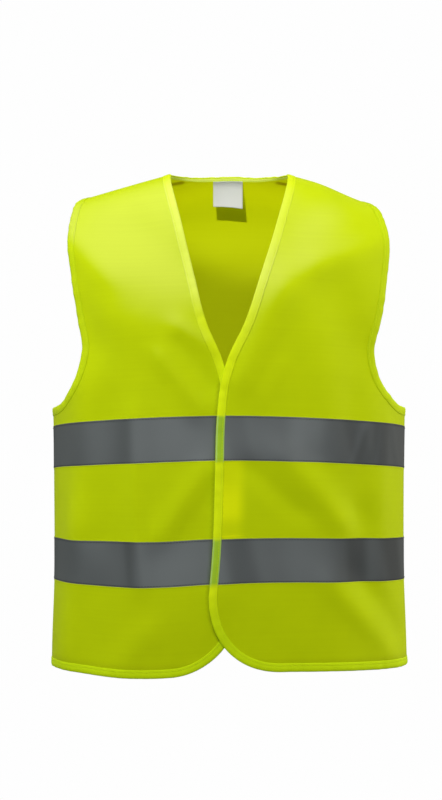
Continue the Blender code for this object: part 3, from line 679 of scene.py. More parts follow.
def front_edge():
    """From the neck point down the V and the front, round the corner and along the hem to the side seam."""
    top = (NECK_ACROSS, shoulder_up(FRONT, NECK_ACROSS))
    neck_and_front = smooth_line([top] + [row[1:] for row in FRONT_EDGE])
    _, corner_x, corner_up = FRONT_EDGE[-1]
    angle = np.linspace(0, math.pi / 2, 160)[1:]
    corner = np.stack(
        [
            corner_x + CORNER_ACROSS * (1 - np.cos(angle) ** (2 / CORNER_EXPONENT)),
            corner_up * (1 - np.sin(angle) ** (2 / CORNER_EXPONENT)),
        ],
        axis=1,
    )
    hem = smooth_line([corner[-1], (HALF_WIDTH, 0.0)])[1:]
    seams = (seam_way(FRONT, NECK_ACROSS, SHOULDER_ACROSS), (0, 1))
    return BoundEdge(np.concatenate([neck_and_front, corner, hem]), seams)


def back_neck_edge():
    middle_up = shoulder_up(BACK, 0.0)
    half = [(NECK_ACROSS, shoulder_up(BACK, NECK_ACROSS))]
    half += [(across, middle_up - below) for _, across, below in BACK_NECK]
    line = smooth_line(half + [(-across, up) for across, up in half[-2::-1]])
    return BoundEdge(line, (seam_way(BACK, NECK_ACROSS, 1), seam_way(BACK, -NECK_ACROSS, -1)))


def front_outline(edge, armhole):
    hem, underarm = edge.line[-1, 1], armhole.line[0, 1]
    parts = [
        edge.at(edge.steps(), 0),
        side_seam(hem, underarm)[1:-1],
        armhole.at(armhole.steps(), 0),
        shoulder_line(FRONT, SHOULDER_ACROSS, NECK_ACROSS)[1:-1],
    ]
    return np.concatenate(parts)


def back_outline(hem, armhole, neck):
    seam = side_seam(0, armhole.line[0, 1])[1:-1]
    shoulder = shoulder_line(BACK, SHOULDER_ACROSS, NECK_ACROSS)[1:-1]
    side = armhole.at(armhole.steps(), 0)
    parts = [
        hem.at(hem.steps(), 0),
        seam,
        side,
        shoulder,
        neck.at(neck.steps(), 0),
        (shoulder * (-1, 1))[::-1],
        (side * (-1, 1))[::-1],
        (seam * (-1, 1))[::-1],
    ]
    return np.concatenate(parts)


# ------------------------------------------------------------------ meshes


def cloth(name, points, faces, uv, wall, finish, marks=None, inner=None):
    """A piece of cloth: a surface with its cut as UV map, given its thickness on both sides."""
    mesh = bpy.data.meshes.new(name)
    mesh.from_pydata(points.reshape(-1, 3).tolist(), [], faces.tolist())
    layer = mesh.uv_layers.new(name=CUT)
    corners = np.zeros(len(mesh.loops), np.int32)
    mesh.loops.foreach_get("vertex_index", corners)
    layer.data.foreach_set("uv", uv.reshape(-1, 2)[corners].ravel())
    for mark, values in (marks or {}).items():
        mesh.attributes.new(mark, "FLOAT", "POINT").data.foreach_set("value", values)
    mesh.materials.append(finish)
    if inner:
        mesh.materials.append(inner)
    mesh.shade_smooth()
    piece = bpy.data.objects.new(name, mesh)
    bpy.context.scene.collection.objects.link(piece)
    thickness = piece.modifiers.new("wall", "SOLIDIFY")
    thickness.thickness = wall
    thickness.offset = 0
    if inner:
        thickness.material_offset = 1
    return piece


def grid_faces(rows, columns):
    """The faces of a grid of points that are numbered row by row."""
    corner = np.arange(rows * columns).reshape(rows, columns)
    a, b, c, d = corner[:-1, :-1], corner[:-1, 1:], corner[1:, 1:], corner[1:, :-1]
    return np.stack([a, b, c, d], axis=-1).reshape(-1, 4)


def ride(piece, slot, *nodes):
    """Fixes a piece to the vest's one body, in place of the solids it stands for."""
    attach(piece, BODY)
    if nodes:
        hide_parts(*nodes)


def way_to(direction):
    """The way to a light that stands this many degrees right of the camera's side, and up."""
    right, up = (math.radians(angle) for angle in direction)
    return math.sin(right) * math.cos(up), -math.cos(right) * math.cos(up), math.sin(up)


def pale_mark(points, normals):
    """How far the cloth's colour pales where the key light falls on it."""
    _, direction, distance, _, _, aim, _ = FRONT_LIGHTS[0]
    toward = np.array(aim) + distance * np.array(way_to(direction)) - points
    away = np.linalg.norm(toward, axis=1)
    lit = np.clip((toward * normals).sum(axis=1) / away, 0, 1) * (distance / away) ** 2
    return smoothstep(PALE_FROM, PALE_TO, lit + PALE_FROM_ABOVE * np.clip(normals[:, 2], 0, 1))


def through_mark(points, normals):
    """How much painted glow stands for light coming through the cloth at the shoulders, where it is lit from
    above.
    """
    least = THROUGH_LEAST * smoothstep(*THROUGH_LEVELS, points[:, 2])
    return least + (1 - THROUGH_LEAST) * smoothstep(*THROUGH_FACING, normals[:, 2])


def contact_mark(points, line):
    """Where the front that laps over the other one shades it: beside its edge, given as points."""
    order = np.argsort(line[:, 2])
    beside = np.interp(points[:, 2], line[order, 2], line[order, 0]) - points[:, 0]
    return smoothstep(CONTACT_REACH, 0, beside) * (points[:, 2] < CONTACT_TOP)


def near_line(flat, across, up, end_across, end_up, half_width):
    """1 along a line on the cut, eased to 0 beside it."""
    start, run = np.array([across, up]), np.array([end_across - across, end_up - up])
    along = np.clip((flat - start) @ run / (run @ run), 0, 1)
    beside = np.linalg.norm(flat - start - along[:, None] * run, axis=1)
    return np.exp(-((beside / half_width) ** 4))


def hollow_shade_mark(panel, flat):
    """Where shade is painted on the inside of the back, in the hollows under the ends of the shoulder seams.
    """
    if panel.side is FRONT:
        return np.zeros(len(flat))
    return np.max([near_line(flat, *line) for _, *line in NECK_HOLLOW_SHADES], axis=0)


def over_band(up, reach=0.0015):
    """1 where a band lies and 0 elsewhere, eased over its edges."""
    share = np.zeros(np.shape(up))
    for low in (LOWER_BAND_UP, UPPER_BAND_UP):
        high = low + BAND_WIDTH
        share += smoothstep(low - reach, low + reach, up) * (1 - smoothstep(high - reach, high + reach, up))
    return share


def shade_mark(flat, points, over):
    """Where the cloth is shaded: above the hem's binding, and beside the front that laps over it."""
    at_hem = HEM_SHADE * (1 - smoothstep(BINDING_WIDTH, BINDING_WIDTH + HEM_SHADE_REACH, flat[:, 1]))
    return at_hem if over is None else at_hem + contact_mark(points, over)


def make_panel(name, panel, outline, patch=None, over=None):
    """A panel's cloth. patch gives the mark of the closure behind it. over is the edge that laps over it."""
    flat, faces = triangulate(outline)
    points, normals = panel.points(flat), panel.normals(flat)
    marks = {
        "pale": pale_mark(points, normals),
        "through": through_mark(points, normals),
        "hollow": hollow_shade_mark(panel, flat),
        "patch": patch(flat) if patch else np.zeros(len(flat)),
        "contact": shade_mark(flat, points, over),
    }
    piece = cloth(name, points, faces, flat, PANEL_WALL, FINISHES["cloth"], marks, FINISHES["inside"])
    ride(piece, "hi_vis_fabric", name)
    return piece


def neck_glow(flat, profile):
    """How much painted glow stands for light coming through the inner leg of the back neck's binding: less
    near the shoulder seams.
    """
    inner = (profile[:, 1] < 0) & (profile[:, 0] > NECK_GLOW_INSET)
    return inner * (1 - NECK_GLOW_LOSS * smoothstep(*NECK_GLOW_ENDS, np.abs(flat[..., 0])))


def make_binding(name, panel, edge):
    """A strip folded over an edge. Its outer leg steps up where it crosses a band."""
    outer = [(inset, lift) for _, inset, lift in BINDING_PROFILE]
    profile = np.array(outer + [(inset, -lift) for inset, lift in outer[-2::-1]])
    places = edge.steps()
    flat = edge.at(places[:, None], profile[None, :, 0])
    banded = over_band(flat[..., 1]) * (profile[:, 1] > 0)
    lift = profile[:, 1] + BINDING_OVER_BAND * banded
    points = panel.points(flat, lift)
    width = np.concatenate([[0], np.cumsum(np.hypot(*np.diff(profile, axis=0).T))])
    uv = together(places[:, None], width[None, :])
    faces = grid_faces(len(places), len(width))
    _, shade, green = next(row for row in BINDING_TINTS if name.startswith(row[0]))
    up = flat[..., 1].ravel()
    at_hem = 1 - smoothstep(*HEM_GREEN_UP, up)
    glow = neck_glow(flat, profile) if name == "back_neck_binding" else np.zeros(flat.shape[:2])
    # painted light and shade: the key light's pale highlight, each binding's painted shade, and a painted
    # glow through the neck binding's inner leg
    marks = {
        "over_band": banded.ravel(),
        "pale": pale_mark(points.reshape(-1, 3), panel.normals(flat.reshape(-1, 2))),
        "shade": shade + BINDING_LIGHTER * (1 - smoothstep(*BINDING_LIGHTER_UP, up)) * (1 - at_hem),
        "green": np.maximum(at_hem, green),
        "through": glow.ravel(),
    }
    piece = cloth(name, points, faces, uv, BINDING_WALL, FINISHES["binding"], marks)
    ride(piece, "binding_tape", name)
    edge.length()
    return piece


def make_band(name, panel, low, start, end, over=None):
    """A reflective band: grey, with its yellow backing showing past both edges. start gives, for each height,
    the place across where it begins, and end is where it ends."""
    half = BAND_WIDTH / 2
    margin = np.array([half + BACKING_ROW * BAND_MARGIN, half + BAND_MARGIN])
    rows = np.concatenate([-margin[::-1], np.linspace(-half, half, BAND_ROWS), margin])[:, None]
    up = low + half + rows
    first = start(up)
    steps = round(abs(end - first.mean()) / EDGE_STEP)
    across = first + (end - first) * np.linspace(0, 1, steps)[None, :]
    flat, uv = together(across, up), together(across, rows)
    points = panel.points(flat, BAND_LIFT)
    faces = grid_faces(len(rows), steps)
    if end < first.mean():
        faces = faces[:, ::-1]
    # painted light and shade on the band: lit where it faces LIT_WAY, painted shade along BAND_SHADES and
    # beside the lapping edge
    to_light = np.array(LIT_WAY) * (1, -panel.side.facing, 1)
    flat, points = flat.reshape(-1, 2), points.reshape(-1, 3)
    lit = np.clip(panel.normals(flat) @ to_light, 0, 1)
    shaded = np.zeros(len(flat)) if over is None else contact_mark(points, over)
    strips = ((share, near_line(flat, *line)) for _, *line, share in BAND_SHADES)
    marks = {"lit": lit**LIT_POWER, "contact": shaded, "dim": sum(share * near for share, near in strips)}
    piece = cloth(name, points, faces, uv, BAND_WALL, FINISHES["band"], marks)
    ride(piece, "reflective_tape", name)
    float(abs(end - first).mean())
    return piece


def sew_binding(rows, panel, edge):
    """A row of stitches on each leg of a binding."""
    places = edge.steps(STITCH_STEP)[2:-2]
    flat = edge.at(places, STITCH_ROW)
    lift = STITCH_LIFT + BINDING_OVER_BAND * over_band(flat[:, 1])
    rows.add(panel, flat, lift)
    rows.add(panel, flat, -STITCH_LIFT)


def sew_band(rows, panel, low, start, end):
    """A row of stitches along each side of a band."""
    across = even_steps(start, end, EDGE_STEP)
    for up in (low + BAND_ROW, low + BAND_WIDTH - BAND_ROW):
        flat = together(across, up)
        rows.add(panel, flat, BAND_LIFT + BAND_WALL / 2)
        rows.add(panel, flat, -PANEL_WALL / 2)


def line_up(edge, inset, low, high):
    """Where a front's edge, moved in by inset, lies across at each height between low and high."""
    line = edge.at(edge.steps(FINE_STEP), inset)
    line = line[(line[:, 1] > low) & (line[:, 1] < high) & (np.abs(line[:, 0]) < CORNER_ACROSS)]
    line = line[np.argsort(line[:, 1])]
    return lambda up: np.interp(up, line[:, 1], line[:, 0])


def make_closure(name, panel, edge, hand, width, lift):
    """One side of the closure: a patch beside the binding, from above the lower band up to the upper one."""
    beside = line_up(edge, BINDING_WIDTH + CLOSURE_BESIDE, LOWER_BAND_UP, UPPER_BAND_UP + BAND_WIDTH)
    up = even_steps(CLOSURE_UP, UPPER_BAND_UP - CLOSURE_BELOW_BAND, CLOSURE_STEP)[:, None]
    share = np.linspace(0, 1, CLOSURE_COLUMNS)[None, :]
    flat = together(beside(up) + hand * width * share, up)
    faces = grid_faces(*flat.shape[:2])[:, ::-hand]
    piece = cloth(name, panel.points(flat, lift), faces, flat, CLOSURE_WALL, FINISHES["closure"])
    ride(piece, "hook_and_loop", name)


def make_label(panel, neck, columns=25, rows=29):
    """A bare label sewn under the back neck binding. It leaves along the cloth, turns down and hangs free."""
    across = np.linspace(*LABEL_ACROSS, columns)
    line = neck.at(neck.steps(FINE_STEP), BINDING_WIDTH - LABEL_UNDER_BINDING)
    line = line[np.argsort(line[:, 0])]
    start = together(across, np.interp(across, line[:, 0], line[:, 1]))
    place = panel.points(start, -LABEL_LIFT)
    leaving = panel.points(start - (0, LABEL_LOOK), -LABEL_LIFT) - place
    leaving /= np.linalg.norm(leaving, axis=1, keepdims=True)
    share = np.interp(across, LABEL_ACROSS, (0, 1))
    drop = np.interp(across, LABEL_ACROSS, LABEL_DROP)[:, None]
    grid = [place]
    for row in range(rows - 1):
        down = (row + 0.5) / (rows - 1)
        turn = smoothstep(*LABEL_TURN, down)
        heading = leaving * (1 - turn) + np.array([0, 0, -1]) * turn
        curl = LABEL_CURL * np.sin(LABEL_CURL_RATE * down - LABEL_CURL_START)
        heading = heading + curl * np.array([0, -1, 0])
        heading = heading / np.linalg.norm(heading, axis=1, keepdims=True)
        grid.append(grid[-1] + drop / (rows - 1) * heading)
    points = np.stack(grid)
    down = np.linspace(0, 1, rows)[:, None]
    points[..., 1] += LABEL_BOW * down * (4 * share * (1 - share) - LABEL_SKEW * share)
    uv = together(across[None, :], -down * LABEL_DROP[0])
    faces = grid_faces(rows, columns)
    piece = cloth("neck_label", points, faces, uv, LABEL_WALL, FINISHES["label"])
    ride(piece, "label_fabric", "neck_label")
    return piece


def make_allowance(name, panel, flat):
    """The folded edge of a seam, lying on the inside of the back."""
    points, faces = panel.points(flat, -ALLOWANCE_LIFT), grid_faces(*flat.shape[:2])
    marks = {"shade": np.ones(flat[..., 0].size)}
    piece = cloth(name, points, faces, flat, PANEL_WALL, FINISHES["binding"], marks)
    ride(piece, "hi_vis_fabric")
    return piece


def shoulder_allowance(hand):
    """Points of the cut along a shoulder seam, some rows down from it."""
    ends = (NECK_ACROSS + ALLOWANCE_SHORT, SHOULDER_ACROSS - ALLOWANCE_SHORT)
    across = even_steps(*ends, EDGE_STEP)[:, None]
    down = np.linspace(ALLOWANCE_START, ALLOWANCE_WIDTH, ALLOWANCE_ROWS)[None, :]
    return together(hand * across, shoulder_up(BACK, across) - down)


def side_allowance(hand):
    """Points of the cut along a side seam, some columns in from it."""
    up = even_steps(*SIDE_ALLOWANCE_UP, EDGE_STEP)[:, None]
    inward = np.linspace(ALLOWANCE_START, ALLOWANCE_WIDTH, ALLOWANCE_ROWS)[None, :]
    return together(hand * (HALF_WIDTH - inward), up)


# ------------------------------------------------------------------ stitches


class Stitching:
    """Rows of stitches: each is a line on the cloth, with the way out of the cloth at each of its points."""

    def __init__(self):
        self.points, self.ways, self.edges = [], [], []

    def add(self, panel, flat, lift):
        flat = np.asarray(flat, float)
        start = sum(len(row) for row in self.points)
        self.points.append(panel.points(flat, lift))
        self.ways.append(np.sign(np.mean(lift)) * panel.normals(flat))
        self.edges += [(start + i, start + i + 1) for i in range(len(flat) - 1)]

    def make(self, name, slot, finish):
        mesh = bpy.data.meshes.new(name)
        mesh.from_pydata(np.concatenate(self.points).tolist(), self.edges, [])
        ways = np.concatenate(self.ways).astype(np.float32)
        mesh.attributes.new("way_out", "FLOAT_VECTOR", "POINT").data.foreach_set("vector", ways.ravel())
        rows = bpy.data.objects.new(name, mesh)
        bpy.context.scene.collection.objects.link(rows)
        modifier = rows.modifiers.new("stitches", "NODES")
        modifier.node_group = stitch_tree(finish)
        for item in modifier.node_group.interface.items_tree:
            if item.name in STITCH_SIZES:
                modifier[item.identifier] = STITCH_SIZES[item.name]
        rows.update_tag()
        graph = bpy.context.evaluated_depsgraph_get()
        made = bpy.data.meshes.new_from_object(rows.evaluated_get(graph))
        rows.modifiers.remove(modifier)
        rows.data = made
        bpy.data.meshes.remove(mesh)
        made.name = name
        made.shade_smooth()
        ride(rows, slot)


class Tree:
    """Adds nodes to a node tree: settings are set first, then the sockets' values or links."""

    def __init__(self, tree):
        self.tree = tree

    def node(self, kind, settings=None, inputs=None):
        made = self.tree.nodes.new(kind)
        for setting, value in (settings or {}).items():
            setattr(made, setting, value)
        for socket, value in (inputs or {}).items():
            value = getattr(value, "socket", value)
            if isinstance(value, bpy.types.NodeSocket):
                self.tree.links.new(value, made.inputs[socket])
            else:
                made.inputs[socket].default_value = value
        return made


def stitch_tree(finish):
    """Lays a bowed thread at even steps along each line, flat on the cloth, a little turned at random."""
    group = bpy.data.node_groups.new("stitches", "GeometryNodeTree")
    tree = Tree(group)
    group.interface.new_socket("Geometry", in_out="INPUT", socket_type="NodeSocketGeometry")
    group.interface.new_socket("Geometry", in_out="OUTPUT", socket_type="NodeSocketGeometry")
    for name in STITCH_SIZES:
        kind = "NodeSocketInt" if name == "Seed" else "NodeSocketFloat"
        group.interface.new_socket(name, in_out="INPUT", socket_type=kind)
    given = tree.node("NodeGroupInput").outputs
    rows = tree.node("GeometryNodeMeshToCurve", inputs={"Mesh": given["Geometry"]})
    steps = {"mode": "LENGTH"}
    places = tree.node(
        "GeometryNodeResampleCurve", steps, {"Curve": rows.outputs["Curve"], "Length": given["Pitch"]}
    )

    def times(value, factor):
        return tree.node("ShaderNodeMath", {"operation": "MULTIPLY"}, {0: value, 1: factor}).outputs[0]

    half = times(given["Length"], 0.5)
    places_of_thread = ({0: times(half, -1.0)}, {2: times(given["Rise"], 2.0)}, {0: half})
    ends = [tree.node("ShaderNodeCombineXYZ", inputs=at).outputs[0] for at in places_of_thread]
    thread = tree.node(
        "GeometryNodeCurveQuadraticBezier",
        inputs={"Resolution": 4, "Start": ends[0], "Middle": ends[1], "End": ends[2]},
    )
    round_ = tree.node(
        "GeometryNodeCurvePrimitiveCircle",
        inputs={"Resolution": 5, "Radius": given["Radius"]},
    )
    stitch = tree.node(
        "GeometryNodeCurveToMesh",
        inputs={"Curve": thread.outputs[0], "Profile Curve": round_.outputs[0], "Fill Caps": True},
    )
    tangent = tree.node("GeometryNodeInputTangent").outputs[0]
    along = tree.node("FunctionNodeAlignRotationToVector", {"axis": "X"}, {"Vector": tangent}).outputs[0]
    way = tree.node("GeometryNodeInputNamedAttribute", {"data_type": "FLOAT_VECTOR"}, {"Name": "way_out"})
    upright = tree.node(
        "FunctionNodeAlignRotationToVector",
        {"axis": "Z", "pivot_axis": "X"},
        {"Rotation": along, "Vector": way.outputs["Attribute"]},
    ).outputs[0]
    turn = tree.node(
        "FunctionNodeRandomValue",
        {"data_type": "FLOAT"},
        {2: -STITCH_TURN, 3: STITCH_TURN, "Seed": given["Seed"]},
    ).outputs[1]
    sway = tree.node("ShaderNodeCombineXYZ", inputs={2: turn}).outputs[0]
    lying = tree.node(
        "FunctionNodeRotateRotation", {"rotation_space": "LOCAL"}, {"Rotation": upright, "Rotate By": sway}
    ).outputs[0]
    laid = tree.node(
        "GeometryNodeInstanceOnPoints",
        inputs={"Points": places.outputs[0], "Instance": stitch.outputs[0], "Rotation": lying},
    )
    whole = tree.node("GeometryNodeRealizeInstances", inputs={"Geometry": laid.outputs[0]})
    dyed = tree.node("GeometryNodeSetMaterial", inputs={"Geometry": whole.outputs[0], "Material": finish})
    tree.node("NodeGroupOutput", inputs={0: dyed.outputs[0]})
    return group


# ------------------------------------------------------------------ finishes


class Value:
    """A socket of a finish. Arithmetic on it adds Math nodes."""

    def __init__(self, finish, socket):
        self.finish, self.socket = finish, socket

    def math(self, operation, *others):
        inputs = dict(enumerate((self, *others)))
        made = self.finish.node("ShaderNodeMath", {"operation": operation}, inputs)
        return Value(self.finish, made.outputs[0])

    def __add__(self, other):
        return self.math("ADD", other)

    def __mul__(self, other):
        return self.math("MULTIPLY", other)

    def __sub__(self, other):
        return self.math("SUBTRACT", other)

    def __rsub__(self, other):
        return self * -1.0 + other

    __radd__, __rmul__ = __add__, __mul__

    def sine(self):
        return self.math("SINE")

    def size(self):
        return self.math("ABSOLUTE")

    def between(self, low, high):
        """0 up to low and 1 from high, eased; high may be the lower one."""
        made = self.finish.node(
            "ShaderNodeMapRange",
            {"interpolation_type": "SMOOTHSTEP"},
            {"Value": self, "From Min": low, "From Max": high, "To Min": 0.0, "To Max": 1.0},
        )
        return Value(self.finish, made.outputs[0])


class Finish(Tree):
    """A material, with helpers for its nodes."""

    def __init__(self, name, **constants):
        self.material = bpy.data.materials.new(name)
        self.material.use_nodes = True
        super().__init__(self.material.node_tree)
        self.shader = self.tree.nodes["Principled BSDF"]
        for socket, value in constants.items():
            self.shader.inputs[socket.replace("_", " ")].default_value = value
        uv = self.node("ShaderNodeUVMap", {"uv_map": CUT}).outputs[0]
        apart = self.node("ShaderNodeSeparateXYZ", inputs={0: uv})
        self.across, self.up = (Value(self, apart.outputs[i]) for i in (0, 1))

    def mark(self, name):
        return Value(self, self.node("ShaderNodeAttribute", {"attribute_name": name}).outputs["Fac"])

    def noise(self, across, up, detail=2.0, seed=0.0):
        """Noise with this many lumps a metre each way, from 0 to 1 about 0.5."""
        scaled = self.node("ShaderNodeCombineXYZ", inputs={0: self.across * across + seed, 1: self.up * up})
        made = self.node(
            "ShaderNodeTexNoise", inputs={"Vector": scaled.outputs[0], "Scale": 1.0, "Detail": detail}
        )
        return Value(self, made.outputs["Fac"])

    def mixed(self, share, start, end):
        """Two colours mixed. start and end are colours or sockets."""
        inputs = {0: share}
        for socket, colour in ((6, start), (7, end)):
            inputs[socket] = (*colour, 1.0) if isinstance(colour, tuple) else colour
        made = self.node("ShaderNodeMix", {"data_type": "RGBA", "clamp_factor": True}, inputs)
        return Value(self, made.outputs[2])

    def shaded(self, colour, brightness):
        """A colour or a socket times a grey value."""
        made = self.node("ShaderNodeVectorMath", {"operation": "SCALE"}, {0: colour, "Scale": brightness})
        return Value(self, made.outputs[0])

    def glows(self, colour):
        """A painted glow: light of this colour is emitted as if it came through the cloth."""
        self.tree.links.new(colour.socket, self.shader.inputs["Emission Color"])

    def finished(self, colour, height=None, depth=0.0):
        """Links the colour, and the height as a bump this many metres deep."""
        self.tree.links.new(colour.socket, self.shader.inputs["Base Color"])
        if height is not None:
            bump = self.node("ShaderNodeBump", inputs={"Height": height, "Distance": depth, "Strength": 1.0})
            self.tree.links.new(bump.outputs[0], self.shader.inputs["Normal"])
        return self.material


def knit(finish, wale=0.0011, course=0.0009):
    """The height of a knit's loops, about 0 to 1: columns of slanting threads that meet in their middle."""
    turns = 2 * math.pi
    beside = (finish.across * (turns / wale / 2)).sine().size()
    slant = beside * 0.55
    loops = ((finish.up * (1 / course) + slant) * turns).sine() * 0.5 + 0.5
    return beside * 0.55 + loops * 0.45


def knit_shade(finish, loops):
    """How bright a knit is from loop to loop, and from one of its faint bars to the next."""
    barred = finish.noise(5, 420, detail=1.0, seed=7.0)
    return 0.92 + loops * 0.06 + (barred - 0.5) * 0.05


def weave(finish, thread):
    """The height of a plain weave, from about 0 to 1."""
    turns = math.pi / thread
    return ((finish.across * turns).sine() * (finish.up * turns).sine()) * 0.5 + 0.5


def make_finishes():
    cloth_like = {"Roughness": 0.6, "Specular_IOR_Level": 0.05, "Sheen_Weight": 0.015, "Sheen_Roughness": 0.4}

    finish = Finish("hi-vis knit", **cloth_like)
    loops = knit(finish)
    cloudy = finish.noise(26, 26, detail=3.0)
    shade = knit_shade(finish, loops) * (1 - finish.mark("contact") * 0.30)
    colour = finish.mixed(cloudy, COLOURS["cloth, deep"], COLOURS["cloth"])
    colour = finish.mixed(finish.mark("pale"), colour, COLOURS["cloth, pale"])
    begins, ends = SEWN_END_UP
    sewn = finish.up.between(*begins) * finish.up.between(*ends)
    colour = finish.mixed(finish.mark("patch") * (1 + sewn), colour, COLOURS["closure"])
    FINISHES["cloth"] = finish.finished(finish.shaded(colour, shade), loops, depth=0.00016)

    finish = Finish("hi-vis knit, inside", Emission_Strength=1.0, **cloth_like)
    loops = knit(finish)
    shade = knit_shade(finish, loops)
    # in the hollows under the shoulder seams the painted glow is dimmed, and painted shade darkens the colour
    share = finish.mark("through") * (1 - finish.mark("hollow") * 0.6)
    finish.glows(finish.shaded(finish.mixed(share, COLOURS["no light"], COLOURS["light through"]), shade))
    colour = finish.mixed(finish.mark("hollow"), COLOURS["inside"], COLOURS["inside, hollow"])
    FINISHES["inside"] = finish.finished(finish.shaded(colour, shade), loops, depth=0.00016)

    finish = Finish("hi-vis binding", Emission_Strength=1.0, **cloth_like)
    threads = weave(finish, thread=0.0006)
    cloudy = finish.noise(60, 160)
    colour = finish.mixed(cloudy, COLOURS["binding, deep"], COLOURS["binding"])
    colour = finish.mixed(finish.mark("green"), colour, COLOURS["binding, green"])
    colour = finish.mixed(finish.mark("pale"), colour, COLOURS["binding, pale"])
    colour = finish.mixed(finish.mark("over_band") * 0.95, colour, COLOURS["binding over a band"])
    first, second = BINDING_RIMS
    rims = finish.mark("over_band") * (finish.up.between(*first) + finish.up.between(*second)) * 0.6
    colour = finish.mixed(rims, colour, COLOURS["binding's edges over a band"])
    # painted shade along the binding's free edge
    free_edge = finish.up.between(*FREE_EDGE)
    shade = (0.92 + threads * 0.08) * (1 - free_edge * 0.05) * finish.mark("shade")
    through = COLOURS["light through the neck binding"]
    finish.glows(finish.mixed(finish.mark("through"), COLOURS["no light"], through))
    FINISHES["binding"] = finish.finished(finish.shaded(colour, shade), threads, depth=0.00010)

    finish = Finish("reflective band", Roughness=0.75, Specular_IOR_Level=0.2)
    fine = finish.noise(900, 900)
    cloudy = finish.noise(30, 22, detail=3.0, seed=3.0)
    from_middle = finish.up.size()
    shade = (0.53 + finish.mark("lit") * 0.54) * (1 - finish.mark("dim")) * (0.95 + fine * 0.1)
    rim = from_middle.between(*BAND_RIM)
    grey = finish.mixed(cloudy, tuple(0.95 * part for part in COLOURS["band"]), COLOURS["band"])
    grey = finish.shaded(grey, shade * (1 - rim * 0.12))
    grey = finish.mixed(finish.mark("contact") * 0.8, grey, COLOURS["band, shaded"])
    backing = finish.shaded(COLOURS["binding"], 0.92 - finish.up.between(-0.001, 0.001) * 0.22)
    colour = finish.mixed(from_middle.between(*BAND_BACKING), grey, backing)
    FINISHES["band"] = finish.finished(colour, fine, depth=0.00004)

    finish = Finish("hook and loop", **cloth_like)
    fuzz = finish.noise(1500, 1500)
    colour = finish.mixed(fuzz, COLOURS["binding, deep"], COLOURS["closure"])
    colour = finish.shaded(colour, 0.85 + fuzz * 0.25)
    FINISHES["closure"] = finish.finished(colour, fuzz, depth=0.0006)

    finish = Finish("label satin", Roughness=0.6, Specular_IOR_Level=0.4, Sheen_Weight=0.1)
    threads = weave(finish, thread=0.00035)
    colour = finish.mixed(finish.noise(40, 40), COLOURS["label, deep"], COLOURS["label"])
    colour = finish.shaded(colour, 0.95 + threads * 0.06)
    FINISHES["label"] = finish.finished(colour, threads, depth=0.00005)

    for name, colour in (("thread", COLOURS["binding"]), ("grey thread", COLOURS["grey thread"])):
        finish = Finish(name, Roughness=0.65, Specular_IOR_Level=0.12)
        place = finish.node("ShaderNodeTexCoord").outputs["Object"]
        uneven = finish.node("ShaderNodeTexNoise", inputs={"Vector": place, "Scale": 1400.0, "Detail": 1.0})
        deep = tuple(0.8 * part for part in colour)
        FINISHES[name] = finish.finished(finish.mixed(Value(finish, uneven.outputs["Fac"]), deep, colour))


# ------------------------------------------------------------------ the stage


def round_light(name, direction, distance, wide, power, aim, colour, kind="AREA"):
    """A round light, aimed at a point."""
    way = Vector(way_to(direction))
    data = bpy.data.lights.new(name, kind)
    data.energy, data.color = power, colour
    if kind == "AREA":
        data.shape, data.size = "DISK", wide
    else:
        data.shadow_soft_size = wide / 2
    light = bpy.data.objects.new(name, data)
    light.location = Vector(aim) + distance * way
    light.rotation_euler = way.to_track_quat("Z", "Y").to_euler()
    bpy.context.scene.collection.objects.link(light)
    return light


def collected(name, pieces):
    collection = bpy.data.collections.new(name)
    for piece in pieces:
        collection.objects.link(piece)
    return collection


